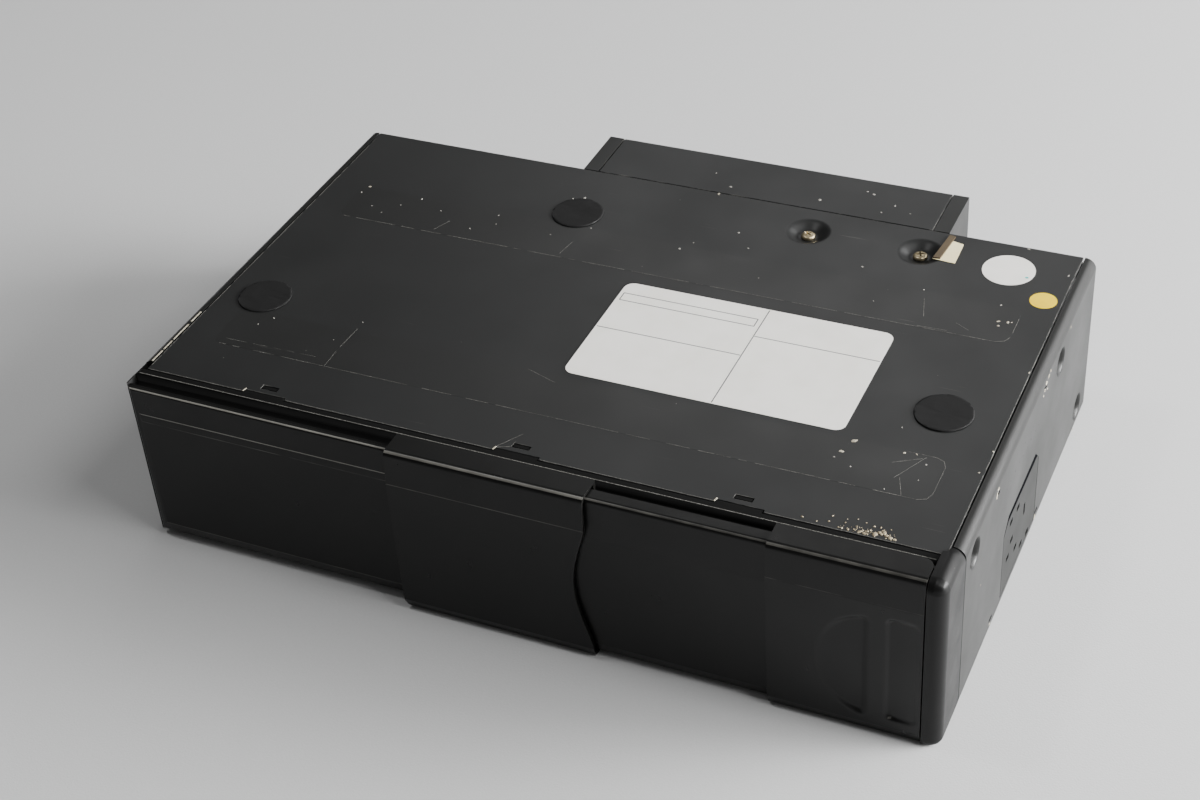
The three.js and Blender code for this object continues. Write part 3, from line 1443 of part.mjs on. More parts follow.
// Angle plate behind each window, and the selector wheel behind it
function anglePlate(word, side) {
  const outer = shellInner - fitGap;
  const [from, to] = sideways(side, outer - anglePlateThick, outer);
  let plate = block(from, to, windowFront - anglePlateMargin, windowRear + anglePlateMargin,
    windowLow - anglePlateMargin / 2, windowHigh + anglePlateMargin);
  for (let i = 0; i < selectorSlots; i += 1) {
    const slot = block(-halfWidth, halfWidth, selectorRing - selectorSlotWide / 2,
      selectorRing + selectorSlotWide / 2, -selectorSlotLong / 2, selectorSlotLong / 2)
      .rotate([i * 360 / selectorSlots, 0, 0]).translate([0, selectorBack, selectorHeight]);
    plate = cut(plate, slot);
  }
  plate = cut(plate, block(from - overrun, to + overrun, selectorBarBack - selectorSlotWide,
    selectorBarBack + selectorSlotWide, selectorHeight - selectorBarLong, selectorHeight));
  return piece(`${word}_angle_plate`, plate, 'shell');
}

function selectorWheelPiece(word, side) {
  const edge = halfWidth - sheet - baseSideGap;
  const inner = edge + fitGap;
  const [from, to] = sideways(side, inner, inner + selectorThick);
  const [stubFrom, stubTo] = sideways(side, edge - sheet - fitGap, inner + sheet / 2);
  let wheel = join(
    rodX(selectorWheel, from, to, selectorBack, selectorHeight, fineSides),
    rodX(selectorStub, stubFrom, stubTo, selectorBack, selectorHeight));
  for (let i = 0; i < selectorTeeth; i += 1) {
    const notch = block(from - overrun, to + overrun, selectorWheel - selectorNotch, selectorWheel + overrun,
      -selectorNotch / 2, selectorNotch / 2)
      .rotate([(i + 0.5) * 360 / selectorTeeth, 0, 0]).translate([0, selectorBack, selectorHeight]);
    wheel = cut(wheel, notch);
  }
  return piece(`${word}_selector_wheel`, wheel, 'nylon');
}

// Main circuit board, hung from the base plate over the magazine
function mainBoard() {
  const high = boardLow + boardThick;
  let board = block(boardLeft, boardRight, boardFront, boardRear, boardLow, high);
  for (const across of [boardLeft + boardPostInset, boardRight - boardPostInset]) {
    for (const back of [boardFront + boardPostInset, boardRear - boardPostInset]) {
      board = join(board, rodZ(boardPost, boardLow + boardThick / 2, plateUnder - seatGap, across, back));
    }
  }
  const chipAcross = (boardLeft + boardRight) / 2 + chipShift;
  for (const across of [chipAcross - chipSideways, chipAcross]) {
    for (const back of [chipBack, chipBack + chipBehind]) {
      board = join(board, block(across - chipSize / 2, across + chipSize / 2, back - chipSize / 2,
        back + chipSize / 2, boardLow + boardThick / 2, high + chipHigh));
    }
  }
  for (let i = 0; i < capacitors; i += 1) {
    board = join(board, rodZ(capacitorRadius, boardLow + boardThick / 2, high + capacitorHigh,
      boardRight - capacitorInset, capacitorBack + i * capacitorSpacing));
  }
  board = join(board, block(socketPlace - headerWide / 2, socketPlace + headerWide / 2,
    boardRear - headerDeep, boardRear, boardLow + boardThick / 2, high + headerHigh));
  return piece('main_board', board, 'board');
}

const trays = Array.from({ length: trayCount }, (_, level) => discTray(level));
const magazine = group(magazineCase(), ...trays);
const deck = group(deckChassis(), spindleMotor(), turntable(), pickupSled(), guideRod(), leadScrew(),
  sledMotor(), clampArm(), clampPuck(), trayPuller(), loadingMotor());
const lift = group(liftPlate('front_lift_plate', frontPlateFace), liftPlate('rear_lift_plate', rearPlateFace),
  liftShaft(), liftMotor(), liftMotorPinion());
const mechanism = group(mechanismBase(), ...dampers(), bracket('front_bracket', bracketFront, 1),
  bracket('rear_bracket', bracketRear, -1), magazineCradle(), ejectPusher(), lift, deck);
const selectors = group(anglePlate('left', -1), anglePlate('right', 1), selectorWheelPiece('left', -1),
  selectorWheelPiece('right', 1));
const front = group(frontBezel(), leftFrontPanel(), middleCover(), gripDoor(), ejectButton(),
  ejectSwitchBoard());
const housing = group(housingShell(), basePlate(), ...sideScrews(), ...plateScrews(), ...adhesiveCaps(),
  rearWall(), rearBox(), rearBoxLid(), rearSocket(), mainBoard());

const changer = group(housing, front, mechanism, magazine, selectors);
changer.position.y = (coverProud - boxRear) / 2;

export default changer;
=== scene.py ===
"""A compact six-disc car CD changer, lying on its top cover with its base plate up."""
import json
import math
import random

import bmesh
import bpy
from mathutils import Matrix, Vector, noise


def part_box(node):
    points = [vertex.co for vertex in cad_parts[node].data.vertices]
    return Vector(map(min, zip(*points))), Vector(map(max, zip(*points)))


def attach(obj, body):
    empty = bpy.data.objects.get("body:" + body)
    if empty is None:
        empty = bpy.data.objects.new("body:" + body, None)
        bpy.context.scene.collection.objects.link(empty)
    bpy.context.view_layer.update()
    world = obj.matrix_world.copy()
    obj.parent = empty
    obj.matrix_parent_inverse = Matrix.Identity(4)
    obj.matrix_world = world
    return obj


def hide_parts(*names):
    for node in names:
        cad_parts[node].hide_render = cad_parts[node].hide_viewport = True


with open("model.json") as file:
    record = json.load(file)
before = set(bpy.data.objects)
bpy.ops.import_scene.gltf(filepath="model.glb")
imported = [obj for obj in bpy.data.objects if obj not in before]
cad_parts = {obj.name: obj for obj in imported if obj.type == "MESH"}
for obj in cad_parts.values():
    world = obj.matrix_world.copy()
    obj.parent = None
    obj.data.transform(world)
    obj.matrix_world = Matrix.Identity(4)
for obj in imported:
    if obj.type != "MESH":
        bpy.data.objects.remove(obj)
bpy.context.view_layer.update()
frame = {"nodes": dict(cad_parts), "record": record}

MM = 0.001
SEED = 12

# Millimetres from here on: X from the middle, Y from the front edge of the base plate, Z from the floor
PLATE_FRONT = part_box("base_plate")[0][1] / MM
TO_FRAME = Matrix.Translation((0, PLATE_FRONT * MM, 0)) @ Matrix.Scale(MM, 4)


def low_of(node):
    """Lowest corner of a CAD node in millimetres."""
    return TO_FRAME.inverted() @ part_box(node)[0]


def high_of(node):
    """Highest corner of a CAD node in millimetres."""
    return TO_FRAME.inverted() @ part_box(node)[1]


def middle_of(node):
    return (low_of(node) + high_of(node)) / 2


def body_of(node):
    """The name of the body that a CAD node belongs to."""
    bodies = frame["record"]["behaviour"]["bodies"]
    return next(name for name, nodes in bodies.items() if node in nodes)


def slot_of(node):
    subparts = frame["record"]["subparts"]
    return next(part["material_slot"] for part in subparts if part["node"] == node)


# How far a cut runs on past what it cuts
OVERRUN = 1.0

# Body
BODY_HALF = high_of("housing_shell").x
BODY_TOP = high_of("base_plate").z
BODY_REAR = high_of("housing_shell").y
SHEET = 1.0
SHELL_FRONT = low_of("housing_shell").y
SHELL_TOP_RADIUS = 3.5
SHELL_LOW_RADIUS = 2.5
ROLLED_EDGE = 3.6
PLATE_HALF = high_of("base_plate").x
PLATE_LIP = (9.0, BODY_REAR - 9.8, BODY_TOP - 13.0)
HOOKS = (-82.7, -0.5, 66.0)
HOOK_NOTCH = (13.9, -OVERRUN, 1.1)
HOOK_SLOT = (5.4, 2.9, 4.7)
WINDOW = (45.2, 83.6, 3.8, 31.6)
WINDOW_CHAMFER = 4.4
PLATE_BACK = (BODY_HALF - SHEET - 1.4, BODY_HALF - SHEET - 0.3)
FACE_GAP = 2.3
FACE_THICK, FACE_LET_IN, SHADOW_FILL_LET_IN, SHADOW_FILL_INSET = 0.35, 0.06, 0.1, 0.05
FACE_FRONT, FACE_REAR, FACE_SLANT = 0.5, 0.1, 0.4
FOOT_WIDE, FOOT_SHORT = 1.2, 5
FACE_SLOTS = ((53.6, 26.1), (61.2, 25.5), (55.3, 18.1), (51.7, 14.1), (60.7, 10.8), (67.6, 6.2),
              (75.0, 4.9))
SLOT_WIDE, SLOT_HIGH = 2.8, 1.6
SLOT_BAR = (69.3, 1.4, 16.5, 20.5)
LANCES = [(back, up) for back in (35.1, 85.4) for up in (4.9, BODY_TOP - 5.8)]
LANCE_SIZE = (3.0, 1.1)
CAP_HOLE = 3.5

# How far an edge is lightened, by scuffing and by painted highlight, from a few patches to bright all along
PATCHY, DIM, FAINT, STEADY, BRIGHT = 0.6, 0.7, 0.85, 1.25, 1.8

# Pressed dimples: soft rim radius, floor radius and depth, and the radius of sheet made new around them
SIDE_DIMPLE = (4.9, 2.5, 2.8, 5.3)
PLATE_DIMPLE = (7.6, 2.5, 2.2, 8.4)
SCREW_HOLE = 1.6

# Front skins: wall, flange, corner radius and top band of each, and what they share
COVER_LEFT, COVER_RIGHT = low_of("middle_cover").x, high_of("middle_cover").x
COVER_FRONT = low_of("middle_cover").y
COVER_LIP_REAR = high_of("middle_cover").y
FRONT_HIGH, FRONT_LOW = high_of("middle_cover").z, low_of("middle_cover").z
FRONT_MIDDLE = (FRONT_HIGH + FRONT_LOW) / 2
COVER_HALF = (FRONT_HIGH - FRONT_LOW) / 2
COVER_WALL, COVER_FLANGE, COVER_CORNER, COVER_BAND = 1.2, 0.8, 2.0, 11.0
DOOR_WALL, DOOR_FLANGE, DOOR_CORNER, DOOR_BAND = 1.3, 0.7, 1.5, 13.2
PANEL_WALL, PANEL_FLANGE, PANEL_CORNER, PANEL_BAND = 1.3, 0.8, 1.2, 8.4
LOW_BAND = 4.0
BAND_SLANT = 0.7
SKIN_GAP = 0.4
SLIDE_GAP = 0.25
LIP_WALL = 1.1
DOOR_FRONT = COVER_FRONT + COVER_WALL + SKIN_GAP
DOOR_HALF = COVER_HALF - COVER_FLANGE - SLIDE_GAP
DOOR_LIP_REAR = COVER_LIP_REAR - 2.7
DOOR_LEFT, GRIP_RIGHT = low_of("grip_door").x, high_of("grip_door").x
GRIP_LEFT = GRIP_RIGHT - 43.4
PANEL_LEFT, PANEL_RIGHT = low_of("left_front_panel").x, high_of("left_front_panel").x
PANEL_FRONT, PANEL_REAR = low_of("left_front_panel").y, high_of("left_front_panel").y
PANEL_HALF = (high_of("left_front_panel").z - low_of("left_front_panel").z) / 2
PANEL_END_INSET, PANEL_END_RADIUS, PANEL_END_OPEN = 1.0, 5.0, 1.9
CREASE_GAP = 2.8
FLANGE_ROUND = 3.0
LIP_HALF = PANEL_HALF - 2.4
COVER_CUT_RADIUS = 3.0
WAVE_DEPTH, WAVE_LOW, WAVE_HIGH, WAVE_POWER = 4.5, 5.0, BODY_TOP - 9.1, 1.2
GROOVE_WIDE, GROOVE_DEEP = 0.3, 0.06
SCOOP_RIGHT, SCOOP_WIDE, SCOOP_MIDDLE, SCOOP_HALF = GRIP_RIGHT - 14.2, 16.0, 24.4, 18.8
RECESS_LEFT, RECESS_RIGHT = GRIP_RIGHT - 10.3, GRIP_RIGHT - 0.4
RECESS_LOW, RECESS_HIGH = 6.6, BODY_TOP - 12.9
RECESS_SHALLOW, RECESS_CORNER = 0.15, 2.6
RECESS_DEEP = 1.25
GRIP_GRID = 0.45

# Bezel
BEZEL_FRONT = PANEL_FRONT + PANEL_WALL + 0.2
BEZEL_RIDGE = -2.6
BEZEL_STEP = -0.4
BEZEL_END_RADIUS, BEZEL_END_WALL = 6.0, 2.1

# Right end cap of the bezel
CAP_LEFT = GRIP_RIGHT + 0.3
CAP_ROUND, CAP_FOOT = 3.8, 2.2
CAP_REAR = 3.5
CAP_WALL, CAP_BROW = 1.6, 5.0

# How near to a plane an edge of the cap counts as lying in it
NEAR = 0.01

# Camera: azimuth, elevation and roll in degrees, its place, and its lens
CAMERA_TURN = (26.7148, 37.2838, -4.5612)
CAMERA_EYE = (226.2, -395.5, 420.4)
CAMERA_LENS = 62.69

# Lights: place, size and power, all aimed at one spot
AIM = (0, 60, 0)
LIGHTS = {
    "right_far_light": ((2200, 500, 900), (1200, 900), 62),
    "right_rear_light": ((1000, 450, 350), (500, 400), 18),
    "right_front_light": ((1000, 220, 300), (420, 400), 10),
    "right_low_light": ((1000, 900, 430), (800, 700), 7),
    "right_upper_light": ((750, 1130, 690), (600, 500), 3.5),
    "right_high_light": ((900, -100, 1200), (500, 500), 7),
    "rear_light": ((-300, 1450, 1150), (900, 700), 3),
    "top_left_light": ((-560, -60, 1400), (160, 160), 3),
}
WORLD_LIGHT = 0.13
FLOOR_HALF = 3000


def new_object(name, data):
    thing = bpy.data.objects.new(name, data)
    bpy.context.scene.collection.objects.link(thing)
    return thing


# Camera, lights and floor

def add_camera():
    azimuth, elevation, roll = (math.radians(turn) for turn in CAMERA_TURN)
    flat = math.cos(elevation)
    back = Vector((math.sin(azimuth) * flat, -math.cos(azimuth) * flat, math.sin(elevation)))
    right = (-back).cross(Vector((0, 0, 1))).normalized()
    up = right.cross(-back)
    across = math.cos(roll) * right + math.sin(roll) * up
    upward = -math.sin(roll) * right + math.cos(roll) * up
    lens = bpy.data.cameras.new("camera")
    lens.lens = CAMERA_LENS
    lens.sensor_width = 36
    lens.clip_start = 0.01
    camera = new_object("camera", lens)
    turn = Matrix((across, upward, back)).transposed().to_4x4()
    camera.matrix_world = Matrix.Translation(TO_FRAME @ Vector(CAMERA_EYE)) @ turn
    bpy.context.scene.camera = camera


def add_softbox(name, place, size, power):
    """A rectangular area light that faces the part."""
    light = bpy.data.lights.new(name, "AREA")
    light.shape = "RECTANGLE"
    light.size = size[0] * MM
    light.size_y = size[1] * MM
    light.energy = power
    lamp = new_object(name, light)
    lamp.location = TO_FRAME @ Vector(place)
    lamp.rotation_euler = (Vector(place) - Vector(AIM)).to_track_quat("Z", "Y").to_euler()


def add_world():
    world = bpy.data.worlds.new("studio")
    world.use_nodes = True
    background = world.node_tree.nodes["Background"]
    background.inputs["Color"].default_value = (1, 1, 1, 1)
    background.inputs["Strength"].default_value = WORLD_LIGHT
    bpy.context.scene.world = world


# Where most of a cloud's values lie
CLOUD_SPREAD = (0.3, 0.7)


class Finish:
    """A material being made: one shader, and the textures in millimetres that feed it."""

    def __init__(self, name, **values):
        self.material = bpy.data.materials.new(name)
        self.material.use_nodes = True
        self.tree = self.material.node_tree
        self.shader = self.tree.nodes["Principled BSDF"]
        for socket, value in values.items():
            self.shader.inputs[socket.replace("_", " ")].default_value = value
        place = self.tree.nodes.new("ShaderNodeTexCoord")
        scale = self.add("ShaderNodeVectorMath", operation="SCALE")
        scale.inputs["Scale"].default_value = 1 / MM
        self.link(place.outputs["Object"], scale.inputs[0])
        self.place = scale.outputs[0]

    def add(self, kind, **settings):
        node = self.tree.nodes.new(kind)
        for key, value in settings.items():
            setattr(node, key, value)
        return node

    def link(self, source, target):
        self.tree.links.new(source, target)

    def stretched(self, stretch):
        node = self.add("ShaderNodeMapping")
        node.inputs["Scale"].default_value = [1 / share for share in stretch]
        self.link(self.place, node.inputs["Vector"])
        return node.outputs["Vector"]

    def clouds(self, size, detail=2.0, stretch=(1, 1, 1), shift=0):
        """Soft noise whose patches measure about size."""
        node = self.add("ShaderNodeTexNoise", noise_dimensions="4D")
        node.inputs["Scale"].default_value = 1 / size
        node.inputs["Detail"].default_value = detail
        node.inputs["W"].default_value = shift
        self.link(self.stretched(stretch), node.inputs["Vector"])
        return node.outputs["Fac"]

    def cells(self, size, stretch=(1, 1, 1)):
        """Distance to the nearest of points that lie about size apart."""
        node = self.add("ShaderNodeTexVoronoi")
        node.inputs["Scale"].default_value = 1 / size
        self.link(self.stretched(stretch), node.inputs["Vector"])
        return node.outputs["Distance"]

    def specks(self, spacing, radius, shift):
        """Small round spots, about spacing apart, where a cloud lets them show."""
        spots = self.span(self.cells(spacing), radius / spacing, 0.6 * radius / spacing)
        shown = self.span(self.clouds(1.7 * spacing, 1, shift=shift), 0.52, 0.54, 1.0, 0.0)
        return self.combine(spots, shown)

    def wear_and_highlight_level(self):
        """How far the faces are lightened by scuffing and painted highlight: 0, or one of the levels."""
        return self.add("ShaderNodeAttribute", attribute_name="wear_and_highlight").outputs["Fac"]

    def span(self, value, low, high, out_low=0.0, out_high=1.0):
        """Maps a value's range onto another, held at the ends."""
        node = self.add("ShaderNodeMapRange")
        ends = {"From Min": low, "From Max": high, "To Min": out_low, "To Max": out_high}
        for socket, number in ends.items():
            node.inputs[socket].default_value = number
        self.link(value, node.inputs["Value"])
        return node.outputs["Result"]

    def combine(self, first, second, operation="MULTIPLY"):
        node = self.add("ShaderNodeMath", operation=operation)
        self.link(first, node.inputs[0])
        self.link(second, node.inputs[1])
        return node.outputs[0]

    def colour(self, factor, first, second):
        """Two colours mixed by a factor; either may be another mix."""
        node = self.add("ShaderNodeMix", data_type="RGBA")
        self.link(factor, node.inputs["Factor"])
        for socket, value in ((node.inputs[6], first), (node.inputs[7], second)):
            if isinstance(value, tuple):
                socket.default_value = (*value, 1)
            else:
                self.link(value, socket)
        return node.outputs[2]

    def base(self, colour):
        self.link(colour, self.shader.inputs["Base Color"])

    def gloss(self, size, detail, shift, low, high):
        """Roughness that wanders between two values, in patches of about a size."""
        patches = self.span(self.clouds(size, detail, shift=shift), *CLOUD_SPREAD, low, high)
        self.link(patches, self.shader.inputs["Roughness"])

    def bump(self, height, depth):
        """Gives the surface a relief of a depth in millimetres."""
        node = self.add("ShaderNodeBump")
        node.inputs["Distance"].default_value = depth * MM
        node.inputs["Strength"].default_value = 1.0
        self.link(height, node.inputs["Height"])
        self.link(node.outputs["Normal"], self.shader.inputs["Normal"])


def floor_paper():
    paper = Finish("floor_paper", Roughness=0.9)
    paper.base(paper.colour(paper.clouds(0.9, 3), (0.60, 0.605, 0.605), (0.66, 0.66, 0.66)))
    paper.bump(paper.clouds(0.6, 4), 0.05)
    return paper.material


def add_floor():
    half = FLOOR_HALF
    solid = bmesh.new()
    corners = ((-half, -half), (half, -half), (half, half), (-half, half))
    solid.faces.new([solid.verts.new((x, y, 0)) for x, y in corners])
    mesh = smooth_mesh(solid, "floor")
    mesh.materials.append(floor_paper())
    new_object("floor", mesh)


# Materials

def scaled(tone, share):
    return tuple(share * part for part in tone)


def painted_steel(name, tone, scuff_and_highlight_tone, roughness, shine):
    """Satin paint on sheet steel: hairline scratches, dust, and lighter edges, partly paint scuffed through
    and partly a painted highlight.
    """
    paint = Finish(name, IOR=1.5, Specular_IOR_Level=shine)
    body = paint.colour(paint.span(paint.clouds(38, 3), 0.35, 0.7), tone, scaled(tone, 1.18))
    hairline = paint.span(paint.clouds(0.35, 2, stretch=(60, 1, 60)), 0.70, 0.76)
    faint = paint.combine(hairline, paint.span(paint.clouds(14, 2, shift=3), 0.5, 0.66))
    body = paint.colour(faint, body, scaled(scuff_and_highlight_tone, 0.35))
    body = paint.colour(paint.specks(9, 0.16, 21), body, scaled(scuff_and_highlight_tone, 1.1))
    # Lighter tone on marked edges: paint scuffed through, and partly a painted highlight on edges that
    # catch the light
    scuffing_and_highlight = paint.combine(paint.wear_and_highlight_level(), paint.clouds(5, 4, shift=11), "ADD")
    paint.base(paint.colour(paint.span(scuffing_and_highlight, 1.1, 1.6), body, scaled(scuff_and_highlight_tone, 1.1)))
    paint.gloss(24, 4, 8, roughness - 0.05, roughness + 0.07)
    paint.bump(paint.clouds(0.32, 2), 0.005)
    return paint.material


def moulded_black(name, tone, roughness, shine):
    """Black plastic with a fine moulded grain, greyer where marked: scuffing in patches, and painted
    highlights along lit edges and creases.
    """
    plastic = Finish(name, IOR=1.5, Specular_IOR_Level=shine)
    body = plastic.colour(plastic.span(plastic.clouds(18, 4), 0.35, 0.7), tone, scaled(tone, 1.25))
    body = plastic.colour(plastic.specks(11, 0.14, 31), body, (0.11, 0.105, 0.095))
    # Grey on marked faces: scuffing, and partly a painted highlight where rounded edges and creases catch
    # the light
    scuffing_and_highlight = plastic.combine(plastic.wear_and_highlight_level(), plastic.clouds(7, 4, shift=12), "ADD")
    plastic.base(plastic.colour(plastic.span(scuffing_and_highlight, 1.05, 2.4), body, (0.27, 0.262, 0.235)))
    plastic.gloss(9, 4, 5, roughness - 0.05, roughness + 0.07)
    plastic.bump(plastic.clouds(0.16, 1), 0.008)
    return plastic.material


def mottled(name, tones, patch, gloss, relief=None, edges=None, stretch=(1, 1, 1), **settings):
    """A finish that wanders between two tones, with its own gloss and any relief and its depth."""
    finish = Finish(name, **settings)
    blend = finish.clouds(*patch)
    if edges:
        blend = finish.span(blend, *edges)
    finish.base(finish.colour(blend, *tones))
    finish.gloss(*gloss)
    if relief:
        size, detail, depth = relief
        finish.bump(finish.clouds(size, detail, stretch), depth)
    return finish.material


def plated_metal(name, tones, roughness):
    """Bright plated metal with dull patches."""
    return mottled(name, tones, (2.2, 4), (1.1, 3, 4, roughness, roughness + 0.22), (0.4, 3, 0.01),
                   (0.35, 0.65), Metallic=0.9)


def painted_shadow_fill():
    """A dead matt black sheet with no shine, put in the window gap as painted shadow, so it stays dark from
    low angles too.
    """
    shade_fill = Finish("painted_shadow_fill", IOR=1.1, Specular_IOR_Level=0.0)
    shade_fill.base(shade_fill.colour(shade_fill.cells(0.5), (0.004, 0.004, 0.005), (0.009, 0.009, 0.010)))
    shade_fill.gloss(0.6, 2, 0, 0.9, 1.0)
    shade_fill.bump(shade_fill.cells(0.5), 0.05)
    return shade_fill.material


def circuit_board():
    board = Finish("circuit_lacquer", IOR=1.5, Coat_Weight=0.4)
    tracks = board.span(board.cells(1.6, stretch=(3, 1, 1)), 0.30, 0.34)
    board.base(board.colour(tracks, (0.012, 0.085, 0.035), (0.02, 0.13, 0.055)))
    board.gloss(3, 2, 0, 0.3, 0.45)
    board.bump(tracks, 0.03)
    return board.material


def printed_paper(name, tone, stain, roughness):
    """Sticker paper with faint stains and a soft sheen."""
    paper = Finish(name, IOR=1.45)
    body = paper.colour(paper.span(paper.clouds(9, 4), 0.4, 0.75), tone, stain)
    paper.base(paper.colour(paper.specks(5, 0.12, 6), body, scaled(stain, 0.6)))
    paper.gloss(4, 3, 2, roughness - 0.04, roughness + 0.08)
    paper.bump(paper.clouds(0.5, 3), 0.01)
    return paper.material


def plain_ink(name, tone):
    return mottled(name, (tone, scaled(tone, 2.2)), (0.7, 3), (1.1, 2, 1, 0.4, 0.6), IOR=1.45)


def scuffed(name, *tones):
    """Dust, residue and exposed metal in small marks, and small painted glints in the same tones."""
    return mottled(name, tones, (0.5, 3), (0.8, 2, 1, 0.5, 0.75), (0.2, 2, 0.04), (0.4, 0.6), IOR=1.45)


# Tone of scratches, specks and lighter edges on the paint; on the edges partly a painted highlight
SCUFF_AND_HIGHLIGHT_PAINT = (0.26, 0.25, 0.225)
MATERIALS = {
    "shell": painted_steel("shell_paint", (0.011, 0.0113, 0.0108), SCUFF_AND_HIGHLIGHT_PAINT, 0.36, 0.32),
    "plate": painted_steel("plate_paint", (0.0118, 0.0121, 0.0120), (0.26, 0.255, 0.235), 0.38, 0.4),
    "bezel": moulded_black("bezel_plastic", (0.005, 0.005, 0.005), 0.36, 0.18),
    "skin": moulded_black("skin_plastic", (0.005, 0.005, 0.0048), 0.32, 0.22),
    "cap": mottled("cap_sheet", ((0.007, 0.007, 0.007), (0.011, 0.011, 0.011)), (5, 3),
                   (3, 3, 2, 0.55, 0.72), (3.5, 2, 0.12), stretch=(2.5, 1, 1), IOR=1.45,
                   Specular_IOR_Level=0.25),
    "zinc": plated_metal("zinc_plating", ((0.62, 0.53, 0.35), (0.32, 0.265, 0.16)), 0.26),
    "steel": plated_metal("galvanised_steel", ((0.52, 0.53, 0.54), (0.38, 0.39, 0.40)), 0.34),
    "nylon": mottled("natural_plastic", ((0.70, 0.67, 0.58), (0.78, 0.76, 0.69)), (6, 3),
                     (4, 3, 2, 0.42, 0.58), (0.25, 2, 0.01), IOR=1.5, Subsurface_Weight=0.08),
    "dark": moulded_black("dark_plastic", (0.012, 0.012, 0.0125), 0.45, 0.4),
    "rubber": mottled("black_rubber", ((0.012, 0.012, 0.012), (0.022, 0.022, 0.021)), (3, 4),
                      (2, 3, 2, 0.7, 0.9), (0.3, 3, 0.03), IOR=1.5),
    "board": circuit_board(),
}
# The bezel rails in a darker, duller black than the rest of the same moulding: painted shade in the channel
# behind the flanges
CHANNEL_SHADE_PLASTIC = moulded_black("bezel_plastic_painted_shade", (0.0032, 0.0032, 0.0031), 0.55, 0.14)
STAMPED_PAINT = painted_steel("stamped_paint", (0.010, 0.0102, 0.0098), SCUFF_AND_HIGHLIGHT_PAINT, 0.46, 0.24)
SHADOW_FILL = painted_shadow_fill()
LABEL_PAPER = printed_paper("label_paper", (0.92, 0.90, 0.85), (0.86, 0.84, 0.78), 0.42)
YELLOW_PAPER = printed_paper("yellow_paper", (0.95, 0.68, 0.0), (0.88, 0.58, 0.0), 0.5)
TAPE_PAPER = printed_paper("tape_paper", (0.97, 0.86, 0.52), (0.90, 0.76, 0.42), 0.6)
BROWN_TAPE = printed_paper("brown_tape", (0.085, 0.060, 0.032), (0.05, 0.036, 0.02), 0.4)
FILM = painted_steel("taped_paint", (0.0113, 0.0115, 0.0112), (0.24, 0.235, 0.21), 0.35, 0.4)
BLACK_INK = plain_ink("black_ink", (0.028, 0.028, 0.03))
TEAL_INK = plain_ink("teal_ink", (0.03, 0.30, 0.28))
DUST = scuffed("pale_dust", (0.42, 0.41, 0.37), (0.26, 0.25, 0.22))
# Exposed metal of chips and seams, and the tone of painted glints at the notches and lances
BARE_METAL_AND_GLINT = scuffed("bare_metal_and_glint", (0.58, 0.54, 0.44), (0.34, 0.30, 0.22))
CRUMB = scuffed("dry_crumb", (0.47, 0.41, 0.29), (0.22, 0.17, 0.10))
# Pale thin lines: lifted paint at tape edges and scratches, and painted highlights along lit edges
LIFTED_PAINT_AND_HIGHLIGHT = scuffed("lifted_paint_and_highlight", (0.15, 0.148, 0.135), (0.06, 0.058, 0.052))


# Mesh making, in millimetres
STEEP = 55
MERGE = 0.002


def loft(solid, rings, looped=False):
    """Adds a skin through rings of points, looped back to the first or capped at both ends."""
    rows = [[solid.verts.new(point) for point in ring] for ring in rings]
    pairs = list(zip(rows, rows[1:]))
    if looped:
        pairs.append((rows[-1], rows[0]))
    else:
        solid.faces.new(reversed(rows[0]))
        solid.faces.new(rows[-1])
    for first, second in pairs:
        for i in range(len(first)):
            j = (i + 1) % len(first)
            solid.faces.new((first[i], first[j], second[j], second[i]))
    return solid


def circle(radius, up, sides):
    turns = (2 * math.pi * i / sides for i in range(sides))
    return [(radius * math.cos(turn), radius * math.sin(turn), up) for turn in turns]


def turned(profile, sides=48, looped=False):
    """A turned solid about Z, from a profile of radius and height."""
    return loft(bmesh.new(), [circle(radius, up, sides) for radius, up in profile], looped)


def arc(across, up, radius, start, end, steps=8):
    """Points of an arc about a centre, from one angle in degrees to another."""
    if radius == 0:
        return [(across, up)]
    turns = (math.radians(start + (end - start) * i / steps) for i in range(steps + 1))
    return [(across + radius * math.cos(turn), up + radius * math.sin(turn)) for turn in turns]


def rounded(left, right, low, high, radii, steps=8):
    """A rectangle with its own radius at each corner, from the low left one round."""
    r0, r1, r2, r3 = radii
    return [*arc(left + r0, low + r0, r0, 180, 270, steps),
            *arc(right - r1, low + r1, r1, 270, 360, steps),
            *arc(right - r2, high - r2, r2, 0, 90, steps),
            *arc(left + r3, high - r3, r3, 90, 180, steps)]


def sweep(points, stations):
    """A section in Y and Z, carried through places along X."""
    return loft(bmesh.new(), [[(x, y, z) for y, z in points] for x in stations])


def along_x(points, left, right):
    return sweep(points, (left, right))


def along_y(points, front, rear):
    return loft(bmesh.new(), [[(x, y, z) for x, z in points] for y in (front, rear)])


def along_z(points, low, high):
    return loft(bmesh.new(), [[(x, y, z) for x, y in points] for z in (low, high)])


def block(left, right, front, rear, low, high):
    return along_z([(left, front), (right, front), (right, rear), (left, rear)], low, high)


def around(middle, wide):
    """Both ends of a width about its middle."""
    return middle - wide / 2, middle + wide / 2


def on_side(side, first, second):
    """Two distances from the middle as left and right ends, on the right side or on the left one."""
    return sorted((side * first, side * second))


def stand_in(solid):
    """A helper object that holds a bmesh while it is cut."""
    bmesh.ops.recalc_face_normals(solid, faces=solid.faces)
    mesh = bpy.data.meshes.new("helper")
    solid.to_mesh(mesh)
    solid.free()
    return new_object("helper", mesh)


